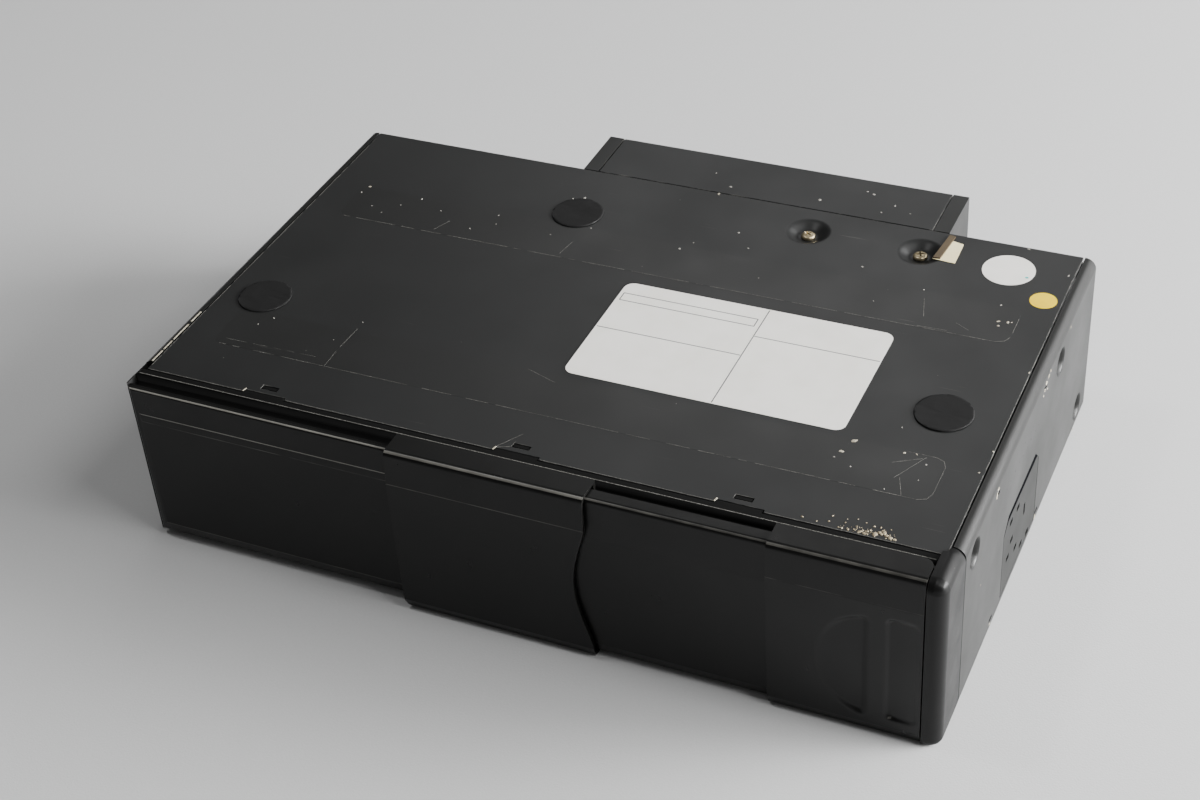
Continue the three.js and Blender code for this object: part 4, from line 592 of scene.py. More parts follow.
def carved(solid, joins=(), cuts=(), keeps=()):
    """A bmesh with others joined to it, then cut out of it, then cut down to what others hold."""
    base = stand_in(solid)
    tools = []
    for operation, others in (("UNION", joins), ("DIFFERENCE", cuts), ("INTERSECT", keeps)):
        for other in others:
            tools.append(stand_in(other))
            step = base.modifiers.new("step", "BOOLEAN")
            step.object = tools[-1]
            step.operation = operation
            step.solver = "EXACT"
    result = bmesh.new()
    result.from_object(base, bpy.context.evaluated_depsgraph_get())
    for helper in (base, *tools):
        bpy.data.objects.remove(helper)
    return result


def flatten(solid, degrees=0.5):
    """Makes flat areas whole again after a cut."""
    bmesh.ops.remove_doubles(solid, verts=solid.verts, dist=MERGE)
    bmesh.ops.dissolve_limit(solid, angle_limit=math.radians(degrees), verts=solid.verts,
                             edges=solid.edges)
    return solid


def bevel(solid, edges, wide, steps, clamped=False):
    return bmesh.ops.bevel(solid, geom=edges, offset=wide, segments=steps, profile=0.5, affect="EDGES",
                           clamp_overlap=clamped)


def soften(solid, edge, steps=2, angle=35):
    """Rounds every edge that is sharper than an angle, and marks the rounding for a lighter tone: scuffing
    in patches, partly a painted highlight on lit edges.
    """
    wear_and_highlight = solid.faces.layers.float.new("wear_and_highlight")
    limit = math.radians(angle)
    sharp = [e for e in solid.edges if len(e.link_faces) == 2 and e.calc_face_angle(0) > limit]
    for face in bevel(solid, sharp, edge, steps, True)["faces"]:
        face[wear_and_highlight] = PATCHY
    return solid


def rub_and_light(solid, level, test):
    """Gives the faces that pass a test on their middle and normal another level of scuffing and painted
    highlight.
    """
    wear_and_highlight = solid.faces.layers.float.get("wear_and_highlight")
    solid.normal_update()
    for face in solid.faces:
        if test(face.calc_center_median(), face.normal):
            face[wear_and_highlight] = level
    return solid


def highlight_and_scuff_ridge(solid, level):
    """Lightens the strip along a skin's rounded top edge: a painted highlight where the rounding catches
    the light, partly scuffing.
    """
    return rub_and_light(solid, level, lambda middle, normal: 0.45 < -normal.y < 0.72 and normal.z > 0.5)


def highlight_and_scuff_crease(solid, level, front, crease):
    """Lightens the fine groove that lies so far up a skin's front wall: a painted highlight on the crease,
    partly scuffing.
    """
    return rub_and_light(solid, level, lambda middle, normal: middle.y < front + 0.2
               and abs(middle.z - FRONT_MIDDLE - crease) < 0.6 * GROOVE_WIDE)


def smooth_mesh(solid, name):
    """Turns a bmesh into a mesh in the frame, smooth but for its steep edges."""
    bmesh.ops.recalc_face_normals(solid, faces=solid.faces)
    bmesh.ops.transform(solid, matrix=TO_FRAME, verts=solid.verts)
    mesh = bpy.data.meshes.new(name)
    solid.to_mesh(mesh)
    solid.free()
    mesh.shade_smooth()
    mesh.set_sharp_from_angle(angle=math.radians(STEEP))
    return mesh


def new_piece(name, solid, slot, body, replaces=(), material=None, weighted=True):
    """Puts a bmesh in the scene with its finish, on the body that carries it."""
    mesh = smooth_mesh(solid, name)
    mesh.materials.append(material or MATERIALS[slot])
    piece = new_object(name, mesh)
    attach(piece, body)
    if replaces:
        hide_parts(*replaces)
    if weighted:
        weigh = piece.modifiers.new("weigh", "WEIGHTED_NORMAL")
        weigh.keep_sharp = True
        weigh.weight = 90
    return piece


def new_marks(name, solid, material, slot="plate"):
    """Thin marks on the housing, in a finish of their own."""
    return new_piece(name, solid, slot, "housing", material=material, weighted=False)


def new_version(node, solid, material=None):
    """A finer solid in place of a CAD node, on the same body and in the finish of its slot."""
    return new_piece(f"{node}_finished", solid, slot_of(node), body_of(node), [node], material)


def solid_of(node):
    """A CAD node's mesh as a bmesh in millimetres, with its corners merged and its flat faces whole."""
    source = frame["nodes"][node]
    solid = bmesh.new()
    solid.from_mesh(source.data)
    bmesh.ops.transform(solid, matrix=TO_FRAME.inverted() @ source.matrix_world, verts=solid.verts)
    return flatten(solid, 1)


# Facings of what is made about Z and set on a wall
FACING = {
    "up": Matrix.Identity(4),
    "right": Matrix.Rotation(math.radians(90), 4, "Y"),
    "left": Matrix.Rotation(math.radians(-90), 4, "Y"),
}


def placed(solid, place, facing="up"):
    bmesh.ops.transform(solid, matrix=Matrix.Translation(place) @ FACING[facing], verts=solid.verts)
    return solid


# Front skins

def crease_line(creases, spacing):
    """Heights up a skin's front wall with how far in each lies: a fine groove at each crease."""
    low, high = min(creases), max(creases)
    count = round((high - low) / spacing) if spacing else 1
    spots = [low + (high - low) * i / count for i in range(count + 1)]
    line = [(up, 0) for up in spots if all(abs(up - crease) > 0.7 * GROOVE_WIDE for crease in creases)]
    for up in creases:
        line += [(up - GROOVE_WIDE / 2, 0), (up, GROOVE_DEEP), (up + GROOVE_WIDE / 2, 0)]
    return sorted(line)


def skin_section(front, wall, half, corner, flange, rear, lip, band, creases=(), spacing=0,
                 hollow=True):
    """Section of a front skin in Y and Z: slanted bands, round corners, flanges and any lips."""
    inner = 0.6 * corner

    def half_points(sign):
        points = [*arc(front + BAND_SLANT + corner, half - corner, corner, 180, 90), (rear, half)]
        if lip:
            points += [(rear, LIP_HALF), (rear - lip, LIP_HALF)]
        if hollow:
            points += [(rear - lip, half - flange), (front + wall + inner, half - flange),
                       (front + wall, half - flange - inner)]
        return [(back, FRONT_MIDDLE + sign * up) for back, up in points]

    line = crease_line((LOW_BAND - half, *creases, half - band), spacing)
    wall_points = [(front + deep, FRONT_MIDDLE + up) for up, deep in line]
    return [*half_points(1), *reversed(half_points(-1)), *wall_points]


def middle_cover():
    """The raised cover, its right edge curved in along the front wall."""
    section = skin_section(COVER_FRONT, COVER_WALL, COVER_HALF, COVER_CORNER, COVER_FLANGE,
                           COVER_LIP_REAR, LIP_WALL, COVER_BAND)
    steps = 48
    wave = []
    for i in range(steps + 1):
        bend = WAVE_DEPTH * math.sin(math.pi * i / steps) ** WAVE_POWER if 0 < i < steps else 0
        wave.append((COVER_RIGHT - bend, WAVE_LOW + (WAVE_HIGH - WAVE_LOW) * i / steps))
    bay = along_y([*wave, (COVER_RIGHT + OVERRUN, WAVE_HIGH), (COVER_RIGHT + OVERRUN, WAVE_LOW)],
                  COVER_FRONT - OVERRUN, COVER_FRONT + COVER_WALL + 0.01)
    radii = (COVER_CUT_RADIUS, 0, 0, 0)
    face = along_y(rounded(COVER_LEFT, COVER_RIGHT, FRONT_LOW, FRONT_HIGH, radii, 12),
                   COVER_FRONT - OVERRUN, 0)
    cover = carved(sweep(section, (COVER_LEFT, COVER_RIGHT)), cuts=[bay], keeps=[face])
    # Lighter top edge and crease: painted highlight, partly scuffing
    highlight_and_scuff_ridge(soften(flatten(cover), 0.3, 3, 50), STEADY)
    highlight_and_scuff_crease(cover, FAINT, COVER_FRONT, COVER_HALF - COVER_BAND)
    return new_version("middle_cover", cover)


def ease(value, low, high):
    """Rises smoothly from 0 to 1 between two values."""
    share = min(max((value - low) / (high - low), 0), 1)
    return share * share * (3 - 2 * share)


def scoop_depth(x, z):
    """Depth of the D-shaped finger scoop, which deepens to its straight right side."""
    across = (SCOOP_RIGHT - x) / SCOOP_WIDE
    up = (z - SCOOP_MIDDLE) / SCOOP_HALF
    if across < 0 or across ** 2 + up ** 2 >= 1:
        return 0.0
    rim = 1 - math.sqrt(across ** 2 + up ** 2)
    return RECESS_DEEP * (1 - across) ** 0.75 * ease(rim, 0, 0.12) * ease(across, 0, 0.2)


def recess_depth(x, z):
    """Depth of the rectangular finger recess, which deepens to its left side."""
    if not (RECESS_LEFT < x < RECESS_RIGHT and RECESS_LOW < z < RECESS_HIGH):
        return 0.0
    beyond = Vector((0, 0))
    for i, (value, low, high) in enumerate(((x, RECESS_LEFT, RECESS_RIGHT), (z, RECESS_LOW, RECESS_HIGH))):
        reach = (high - low) / 2 - RECESS_CORNER
        beyond[i] = max(abs(value - (low + high) / 2) - reach, 0)
    edge = RECESS_CORNER - beyond.length
    share = (RECESS_RIGHT - x) / (RECESS_RIGHT - RECESS_LEFT)
    return (RECESS_SHALLOW + (RECESS_DEEP - RECESS_SHALLOW) * share) * ease(edge, 0, 1.4)


def grip_door():
    """The thin sliding door with its thick grip end and two soft finger recesses."""
    thin = skin_section(DOOR_FRONT, DOOR_WALL, DOOR_HALF, DOOR_CORNER, DOOR_FLANGE, DOOR_LIP_REAR,
                        LIP_WALL - 0.1, DOOR_BAND)
    thick = skin_section(COVER_FRONT, DOOR_FRONT + DOOR_WALL - COVER_FRONT, COVER_HALF, COVER_CORNER,
                         COVER_FLANGE + SLIDE_GAP + DOOR_FLANGE, COVER_LIP_REAR, LIP_WALL, COVER_BAND,
                         spacing=GRIP_GRID)
    scoop_left = SCOOP_RIGHT - SCOOP_WIDE
    count = round((GRIP_RIGHT - scoop_left) / GRIP_GRID)
    stations = [scoop_left + (GRIP_RIGHT - scoop_left) * i / count for i in range(count + 1)]
    reach = GRIP_RIGHT - FLANGE_ROUND, COVER_LIP_REAR - FLANGE_ROUND
    beyond = GRIP_RIGHT + OVERRUN, COVER_LIP_REAR + OVERRUN
    curve = arc(*reach, FLANGE_ROUND, 90, 0, 10)
    corner = along_z([beyond, (reach[0], beyond[1]), *curve, (beyond[0], reach[1])],
                     FRONT_HIGH - COVER_CORNER, FRONT_HIGH + OVERRUN)
    door = carved(sweep(thick, (GRIP_LEFT, *stations)),
                  joins=[sweep(thin, (DOOR_LEFT, GRIP_LEFT + OVERRUN))], cuts=[corner])
    bmesh.ops.remove_doubles(door, verts=door.verts, dist=MERGE)
    soften(door, 0.2, 2, 50)
    for vertex in door.verts:
        x, y, z = vertex.co
        if y < COVER_FRONT + 0.001:
            vertex.co.y += max(scoop_depth(x, z), recess_depth(x, z))
    # Lighter crease and top edge: painted highlight, partly scuffing
    highlight_and_scuff_crease(door, PATCHY, COVER_FRONT, COVER_HALF - COVER_BAND)
    return new_version("grip_door", highlight_and_scuff_ridge(door, FAINT))


def left_front_panel():
    """The fixed panel, its left end rounded back towards the body."""
    sizes = (PANEL_FRONT, PANEL_WALL, PANEL_HALF, PANEL_CORNER, PANEL_FLANGE, PANEL_REAR, 0, PANEL_BAND)
    top_crease = PANEL_HALF - PANEL_BAND
    creases = (top_crease - CREASE_GAP,)
    behind = (PANEL_FRONT + PANEL_WALL, 0, FRONT_LOW, FRONT_HIGH)
    left = PANEL_LEFT + PANEL_END_INSET
    end = carved(sweep(skin_section(*sizes, creases, hollow=False), (left, left + PANEL_END_RADIUS)),
                 cuts=[block(left - OVERRUN, PANEL_RIGHT, *behind)])
    panel = carved(sweep(skin_section(*sizes, creases), (left, PANEL_RIGHT)),
                   cuts=[block(left - OVERRUN, PANEL_LEFT + PANEL_END_OPEN, *behind)])
    plan = along_z(rounded(left, PANEL_RIGHT, PANEL_FRONT, 0, (PANEL_END_RADIUS, 0, 0, 0), 12),
                   FRONT_LOW, FRONT_HIGH)
    panel = carved(panel, joins=[end], keeps=[plan])
    # Lighter top edge and creases: painted highlight, partly scuffing
    highlight_and_scuff_ridge(soften(flatten(panel), 0.2, 2, 50), BRIGHT)
    for level, crease in ((BRIGHT, top_crease), (DIM, *creases), (FAINT, LOW_BAND - PANEL_HALF)):
        highlight_and_scuff_crease(panel, level, PANEL_FRONT, crease)
    return new_version("left_front_panel", panel)


# CAD nodes whose shape is kept, each with how far its edges are rounded
REFINED = {"rear_box": 0.35, "rear_box_lid": 0.2, "rear_socket": 0.2, "rear_wall": 0.15,
           "eject_button": 0.3}


# Body

def dimple_profile(rim, floor, depth, outside):
    """Section of a pressed dimple: a soft bowl in sheet, from its screw hole out to flat sheet."""
    steps = 12
    radii = [floor + (rim - floor) * i / steps for i in range(steps + 1)]
    bowl = [(radius, -depth * (1 - ease(radius, floor, rim))) for radius in radii]
    upper = [(SCREW_HOLE, -depth), *bowl, (outside, 0)]
    return upper + [(radius, up - SHEET) for radius, up in reversed(upper)]


def dimpled(sheet, dimple, places):
    """Sheet with dimples let into it, each at a place and facing."""
    outside = dimple[3]
    holes = []
    bowls = []
    for place, facing in places:
        holes.append(placed(turned([(outside - 0.1, -5), (outside - 0.1, OVERRUN)], 64), place, facing))
        bowls.append(placed(turned(dimple_profile(*dimple), 64, looped=True), place, facing))
    return carved(carved(sheet, cuts=holes), joins=bowls)


def window_outline(inset):
    """The side window in Y and Z, or, inset, the dark sheet of painted shadow that fills it but for a gap.
    """
    back_1, back_2, low, high = WINDOW
    cut = WINDOW_CHAMFER
    return [(back_1 + inset, low + inset), (back_2 - inset, low + inset), (back_2 - inset, high - cut),
            (back_2 - cut, high - inset), (back_1 + cut, high - inset), (back_1 + inset, high - cut)]


def housing_shell():
    """A U of sheet with rolled edges, windows, lances and screw dimples in its sides."""
    def half_outline(inset):
        right = BODY_HALF - inset
        low_radius, top_radius = SHELL_LOW_RADIUS - inset, SHELL_TOP_RADIUS - inset
        return [*arc(right - low_radius, inset + low_radius, low_radius, 270, 360, 10),
                *arc(right - top_radius, BODY_TOP - inset - top_radius, top_radius, 0, 90, 12),
                (BODY_HALF - ROLLED_EDGE, BODY_TOP - inset)]

    outer, inner = half_outline(0), half_outline(SHEET)
    section = [*outer, *inner[::-1]]
    section += [(-x, z) for x, z in reversed(section)]
    shell = along_y(section, SHELL_FRONT, BODY_REAR)
    cuts = []
    places = []
    for side, facing in ((-1, "left"), (1, "right")):
        ends = on_side(side, BODY_HALF - SHEET - OVERRUN, BODY_HALF + OVERRUN)
        cuts.append(along_x(window_outline(0), *ends))
        for back, up in LANCES:
            cuts.append(block(*ends, *around(back, LANCE_SIZE[0]), *around(up, LANCE_SIZE[1])))
        for name in ("front", "rear", "low"):
            screw = middle_of(f"{facing}_{name}_screw")
            places.append(((side * BODY_HALF, screw.y, screw.z), facing))
    shell = dimpled(carved(shell, cuts=cuts), SIDE_DIMPLE, places)
    return new_version("housing_shell", soften(flatten(shell), 0.2))


def base_plate():
    """Flat sheet with side lips, hook slots and notches, cap holes and two screw dimples."""
    front, rear, low = PLATE_LIP
    plate = block(-PLATE_HALF, PLATE_HALF, 0, BODY_REAR, BODY_TOP - SHEET, BODY_TOP)
    lips = [block(*on_side(side, PLATE_HALF - SHEET, PLATE_HALF), front, rear, low, BODY_TOP - SHEET / 2)
            for side in (-1, 1)]
    through = (BODY_TOP - SHEET - OVERRUN, BODY_TOP + OVERRUN)
    cuts = []
    for place in HOOKS:
        for wide, near, far in (HOOK_NOTCH, HOOK_SLOT):
            cuts.append(block(*around(place, wide), near, far, *through))
    for word in ("left", "middle", "right"):
        cap = middle_of(f"{word}_adhesive_cap")
        cuts.append(placed(turned([(CAP_HOLE, -SHEET - OVERRUN), (CAP_HOLE, OVERRUN)]),
                           (cap.x, cap.y, BODY_TOP)))
    for word in ("front", "rear"):
        screw = middle_of(f"right_{word}_screw")
        reach = PLATE_HALF + OVERRUN
        cuts.append(placed(turned([(SCREW_HOLE, -reach), (SCREW_HOLE, reach)], 24), (0, screw.y, screw.z),
                           "right"))
    plate = carved(plate, joins=lips, cuts=cuts)
    screws = [middle_of(f"{word}_plate_screw") for word in ("left", "right")]
    plate = dimpled(plate, PLATE_DIMPLE, [((screw.x, screw.y, BODY_TOP), "up") for screw in screws])
    return new_version("base_plate", soften(flatten(plate), 0.14))


def bezel_end_corner():
    """What the rounding takes off the front left edge of the bezel, seen in plan."""
    centre = (BEZEL_END_RADIUS - BODY_HALF, BEZEL_FRONT + BEZEL_END_RADIUS)
    clear = (-BODY_HALF - 1, COVER_FRONT - 3)
    curve = arc(*centre, BEZEL_END_RADIUS, 270, 180, 16)
    return along_z([(centre[0], clear[1]), *curve, (clear[0], centre[1]), clear], -3, FRONT_HIGH + 3)


def bezel_rails():
    """The grooved rails as in the CAD, rounded at their left end and cut off where the end cap starts."""
    reach = (COVER_FRONT - OVERRUN, CAP_REAR + 3 * OVERRUN)
    radii = (SHELL_LOW_RADIUS, 0, 0, SHELL_TOP_RADIUS)
    face = along_y(rounded(-BODY_HALF, CAP_LEFT, FRONT_LOW, BODY_TOP, radii, 12), *reach)
    end = block(-BODY_HALF, BEZEL_END_WALL - BODY_HALF, BEZEL_FRONT, BEZEL_FRONT + BEZEL_END_RADIUS,
                FRONT_LOW, BODY_TOP)
    end = flatten(carved(end, cuts=[bezel_end_corner()]))
    right = block(CAP_LEFT + 0.02, BODY_HALF + OVERRUN, *reach, -OVERRUN, FRONT_HIGH + OVERRUN)
    rails = flatten(carved(solid_of("front_bezel"), cuts=[bezel_end_corner()]))
    rails = soften(flatten(carved(rails, joins=[end], cuts=[right], keeps=[face])), 0.2)
    # Lighter tone on the ridge's front top edge: painted highlight, partly scuffing
    return rub_and_light(rails, STEADY, lambda middle, normal: middle.z > BODY_TOP - 0.3
               and middle.y < BEZEL_RIDGE + 0.3 and normal.y < -0.2)


def bezel_end_cap():
    """The smooth cap at the bezel's right end, open towards the rails and the body."""
    outline = [(COVER_FRONT, FRONT_LOW), (COVER_FRONT, FRONT_HIGH), (BEZEL_STEP, FRONT_HIGH),
               (CAP_REAR, BODY_TOP), (CAP_REAR, FRONT_LOW)]
    cap = along_x(outline, CAP_LEFT, BODY_HALF)

    def edges(*tests, but=()):
        """The cap's edges that lie in one of some areas, but in none of others."""
        def lies_in(edge, test):
            return all(test(vertex.co) for vertex in edge.verts)
        return [e for e in cap.edges if any(lies_in(e, test) for test in tests)
                and not any(lies_in(e, test) for test in but)]

    right, front, low = BODY_HALF - NEAR, COVER_FRONT + NEAR, FRONT_LOW + NEAR
    bevel(cap, edges(lambda co: co.x > right and (co.y < front or co.z > BODY_TOP - 0.1),
                     lambda co: co.y < front and co.z > FRONT_HIGH - 0.1), CAP_ROUND, 14)
    bevel(cap, edges(lambda co: co.z < low, but=(lambda co: co.x < CAP_LEFT + NEAR,
                                                 lambda co: co.y > CAP_REAR - NEAR)), CAP_FOOT, 8)
    left, rear, brow = CAP_LEFT - OVERRUN, CAP_REAR + OVERRUN, BODY_TOP - CAP_BROW
    hollow = block(left, BODY_HALF - CAP_WALL, BEZEL_STEP, rear, FRONT_LOW + CAP_WALL, brow)
    notch = block(left, PLATE_HALF + 0.2, BEZEL_STEP, rear, brow - 0.1, FRONT_HIGH + OVERRUN)
    return soften(flatten(carved(cap, cuts=[hollow, notch])), 0.22)


def front_bezel():
    place = (slot_of("front_bezel"), body_of("front_bezel"), ["front_bezel"])
    # The rails take the darker black of painted shade
    new_piece("front_bezel_rails", bezel_rails(), *place, CHANNEL_SHADE_PLASTIC)
    new_piece("front_bezel_end_cap", bezel_end_cap(), *place)


def face_slots(ends):
    """The ring of slots and the bar that go through a window plate's face."""
    across, wide, low, high = SLOT_BAR
    ring = [block(*ends, *around(back, SLOT_WIDE), *around(up, SLOT_HIGH)) for back, up in FACE_SLOTS]
    return [*ring, block(*ends, *around(across, wide), low, high)]


def angle_plate(word):
    """The plate behind a window: its face is raised into the window, with a dark sheet in the gap above
    that paints the shadow there.
    """
    node = f"{word}_angle_plate"
    side = -1 if word == "left" else 1
    back_1, back_2, low, high = WINDOW
    cut = WINDOW_CHAMFER
    inner, outer = PLATE_BACK
    raised = BODY_HALF - FACE_LET_IN
    through = on_side(side, inner - OVERRUN, BODY_HALF + OVERRUN)
    opening = [(back_1, low), (back_2, low), (back_2, high), (back_1 + cut, high), (back_1, high - cut)]
    front, rear, floor = back_1 + FACE_FRONT, back_2 - FACE_REAR, low + FACE_REAR
    face = [(front, floor), (rear, floor), (rear, high - 1.3 * FACE_GAP),
            (back_1 + cut + FACE_SLANT, high - FACE_GAP), (front, high - cut - 0.3 * FACE_GAP)]
    cut_out = along_x(opening, *on_side(side, inner - OVERRUN, outer + OVERRUN))
    plate = carved(solid_of(node), cuts=[cut_out])
    foot, step = on_side(side, inner, outer), on_side(side, inner, raised - 0.1)
    inside, short = back_2 - FOOT_WIDE, high - FOOT_SHORT
    feet = [block(*foot, inside, back_2 + 1, low - 0.5, short),
            block(*foot, back_1 + 1, back_2, low - 0.5, low + FOOT_WIDE),
            block(*step, inside, rear, floor, short),
            block(*step, back_1 + 1, rear, floor, low + FOOT_WIDE)]
    plate = carved(plate, joins=[*feet, along_x(face, *on_side(side, raised - FACE_THICK, raised))],
                   cuts=face_slots(through))
    # Dark matt sheet in the window gap round the face: painted shadow
    sheet = along_x(window_outline(SHADOW_FILL_INSET),
                    *on_side(side, raised - FACE_THICK - 0.2, BODY_HALF - SHADOW_FILL_LET_IN))
    cover = along_x(face, *on_side(side, raised - FACE_THICK - 0.1, BODY_HALF))
    sheet = carved(sheet, cuts=[cover, *face_slots(through)])
    new_piece(f"{word}_window_shadow_fill", flatten(sheet), "rubber", body_of(node), material=SHADOW_FILL)
    new_version(node, flatten(plate), STAMPED_PAINT)


# Screws: the cross recess by half its length and width at the top, the same at its floor, and its depth
HEAD_RADIUS, HEAD_HIGH = 2.3, 1.3
HEAD_STEPS, HEAD_ROUND, HEAD_RISE = 10, 0.7, 0.6
RIM_HIGH, RIM_INSET = 0.25, 0.08
SHANK_OUTER, SHANK_ROOT = 1.2, 0.95
PITCH, TURN_STEPS = 0.8, 6
SCREW_SIDES = 32
CROSS = (1.35, 0.3, 0.7, 0.2, 1.0)
CROSS_FLARE, CROSS_OVER = 1.3, 0.4

# Caps: the rings of their top as shares of the radius, from the rim inwards; of the sag and the creases the
# depth, and the two values between which they deepen
CAP_RINGS = (0.97, 0.9, 0.75, 0.6, 0.45, 0.3, 0.15, 0.03)
CAP_FOOT_RING, CAP_SIDE_RING, CAP_SIDE_HIGH = 0.985, 0.99, 0.1
CAP_SIDES, CAP_RAGGED = 96, 0.012
CAP_SAG = (0.10, 4.2, 1.5)
CAP_CREASE = (0.09, 0.1, 0.5)


def screw_solid(length):
    """A pan-head screw about Z with a cross recess and a thread, the top of its head at zero."""
    dome = [math.radians(90 * i / HEAD_STEPS) for i in range(1, HEAD_STEPS)]
    head = [(HEAD_RADIUS * math.sin(a) ** HEAD_ROUND, -HEAD_HIGH * (1 - math.cos(a) ** HEAD_RISE))
            for a in dome]
    head += [(HEAD_RADIUS, -HEAD_HIGH + RIM_HIGH), (HEAD_RADIUS - RIM_INSET, -HEAD_HIGH),
             (SHANK_OUTER, -HEAD_HIGH)]
    rings = [circle(radius, up, SCREW_SIDES) for radius, up in head]
    steps = round(length / PITCH * TURN_STEPS)
    for i in range(steps + 1):
        up = -HEAD_HIGH - length * i / steps
        ring = []
        for x, y, _ in circle(1, 0, SCREW_SIDES):
            phase = (-up / PITCH + math.atan2(y, x) / (2 * math.pi)) % 1
            radius = SHANK_ROOT + (SHANK_OUTER - SHANK_ROOT) * (1 - abs(2 * phase - 1))
            ring.append((radius * x, radius * y, up))
        rings.append(ring)
    long, half, long_end, half_end, deep = CROSS
    cross = []
    for reach, wide, up in ((CROSS_FLARE * long, half, CROSS_OVER), (long, half, 0),
                            (long_end, half_end, -deep)):
        quarter = [(reach, -wide), (reach, wide), (wide, wide)]
        cross.append([(c * x - s * y, s * x + c * y, up) for c, s in ((1, 0), (0, 1), (-1, 0), (0, -1))
                      for x, y in quarter])
    return carved(loft(bmesh.new(), rings), cuts=[loft(bmesh.new(), cross)])


def add_screws():
    turns = random.Random(SEED)
    for node in sorted(name for name in frame["nodes"] if name.endswith("_screw") and "lead" not in name):
        low, high = low_of(node), high_of(node)
        facing = "up" if "plate" in node else node.split("_")[0]
        axis = "z" if facing == "up" else "x"
        top = middle_of(node)
        setattr(top, axis, getattr(low if facing == "left" else high, axis))
        solid = screw_solid(getattr(high - low, axis) - HEAD_HIGH)
        spin = Matrix.Rotation(turns.uniform(0, math.pi / 2), 4, "Z")
        bmesh.ops.transform(solid, matrix=spin, verts=solid.verts)
        new_version(node, placed(solid, top, facing))


def add_caps():
    """Thin adhesive discs, a little ragged and sunk over their holes."""
    for number, word in enumerate(("left", "middle", "right")):
        node = f"{word}_adhesive_cap"
        low, high = low_of(node), high_of(node)
        middle = middle_of(node)
        radius = (high.x - low.x) / 2
        rings = []
        for share, up in ((CAP_FOOT_RING, low.z), (CAP_SIDE_RING, low.z + CAP_SIDE_HIGH),
                          *((share, high.z) for share in CAP_RINGS)):
            ring = []
            for x, y, _ in circle(share * radius, 0, CAP_SIDES):
                ragged = 1 + CAP_RAGGED * noise.noise((0.9 * x, 0.9 * y, 7 * number + 3)) * share
                sag = CAP_SAG[0] * ease(math.hypot(x, y), *CAP_SAG[1:])
                wrinkle = noise.noise((0.12 * x, 0.5 * y, 5 * number))
                crease = CAP_CREASE[0] * ease(wrinkle, *CAP_CREASE[1:])
                sunk = sag + crease if up == high.z else 0
                ring.append((middle.x + x * ragged, middle.y + y * ragged, up - sunk))
            rings.append(ring)
        new_version(node, loft(bmesh.new(), rings))


# Prints and tape on the base plate
PRINT_THICK = 0.1
LABEL = (-4.5, 81.7, 39.65, 88.5)
LABEL_RADIUS = 3.2
LABEL_DIVIDER, LABEL_LEFT_RULE, LABEL_RIGHT_RULE = 42.3, 64.0, 74.2
LABEL_BOX = (-3.2, 40.6, 78.9, 82.7)
RULE_WIDE = 0.32
DASH = 2.4
STICKER = (103.8, 131.7, 8.1)
YELLOW_DOT = (117.7, 119.2, 4.1)
INK_SPOT = (110.0, 129.4, 0.55)
TAPE_SCRAP = ((82.9, 142.0), (87.0, 141.0), (87.3, 130.0), (80.0, 130.5))
TAPE_FOLD = ((80.2, 130.6), (82.4, 130.9), (83.6, 143.8), (81.6, 144.4))
UPPER_FILM = (-111.2, 113.4, 94.5, 112.8)
LOWER_FILM = (-112.2, 112.8, 18.7, 37.4)
FILM_RADIUS, FILM_THICK = 3.5, 0.02
PLATE_SKIN = BODY_TOP + 0.01
PRINT_TOP = PLATE_SKIN + PRINT_THICK + 0.005
FILM_TOP = PLATE_SKIN + FILM_THICK

# Marks of use, at listed places: X, Y and size on the base plate, Y, Z and size on the right side
PLATE_SCRATCHES = (
    ((-72.7, 41.5), (-73.3, 29.0), (-73.0, 19.0)), ((-8.0, 0.4), (-2.5, 9.0)),
    ((-14.5, 37.5), (-4.0, 34.0)), ((101, 25.5), (106.7, 36.5)), ((98.5, 31.5), (106, 35.8)),
    ((102.4, 26), (105, 19)), ((-76.6, 96), (-73.8, 102.5)), ((-31.6, 96.3), (-30.4, 103.7)),
    ((-2.7, 7.5), (-3.3, 2.9), (-7.8, 0.9)), ((86, 95), (95, 95.4)), ((84, 109), (86.5, 100)),
    ((96.5, 100), (101, 97.5)),
)
INNER_TAPE_LINE = ((-109, 21.5), (-78, 22.1))
BARE_SEAM = ((3.9, 9.5), (10.2, 14.8), (15.6, 24.0), (25.5, 31.0))
PLATE_DUST = (
    (18, 125.5, 0.9), (24, 118, 0.8), (3.5, 111, 0.9), (61, 119.5, 0.8), (-28, 113, 0.6),
    (6.5, 115.5, 0.6), (-89, 111.5, 0.8), (-94, 106, 0.7), (-103, 102.5, 0.7), (-79.5, 107, 0.6),
    (-98, 100, 0.6), (-60, 110.5, 0.7), (-58.5, 105.5, 0.6), (-65.5, 100.5, 0.7), (-39, 105.5, 0.6),
    (-110.5, 109, 0.8), (-73, 42.5, 0.6), (-103.5, 31, 0.6), (-100.5, 35.5, 0.6), (-77, 31.5, 0.5),
    (83, 28.5, 0.7), (88.5, 26, 0.6), (107.5, 33.5, 0.7), (107.5, 26.5, 0.6), (100, 20, 0.7),
    (106.5, 113, 0.9), (121.5, 134.5, 0.9), (106.5, 145, 0.9), (82.5, 113.5, 0.7), (-37.5, 129, 1.2),
    (-41, 127.5, 0.8), (96.5, 47, 0.5), (70, 103, 0.5), (33, 103.5, 0.5),
)
PLATE_CHIPS = (
    (86, 37, 2.0), (84, 31.5, 1.6), (100.5, 36.5, 0.9), (103.8, 37, 0.8), (110.7, 105, 1.3),
    (108, 104.7, 1.4), (108.5, 102.5, 0.9), (111.8, 105.3, 0.7), (-109.5, 113, 1.2), (3.5, 145.2, 1.6),
    (123, 45, 0.8), (122.9, 83, 0.8), (121.8, 35, 0.7),
)
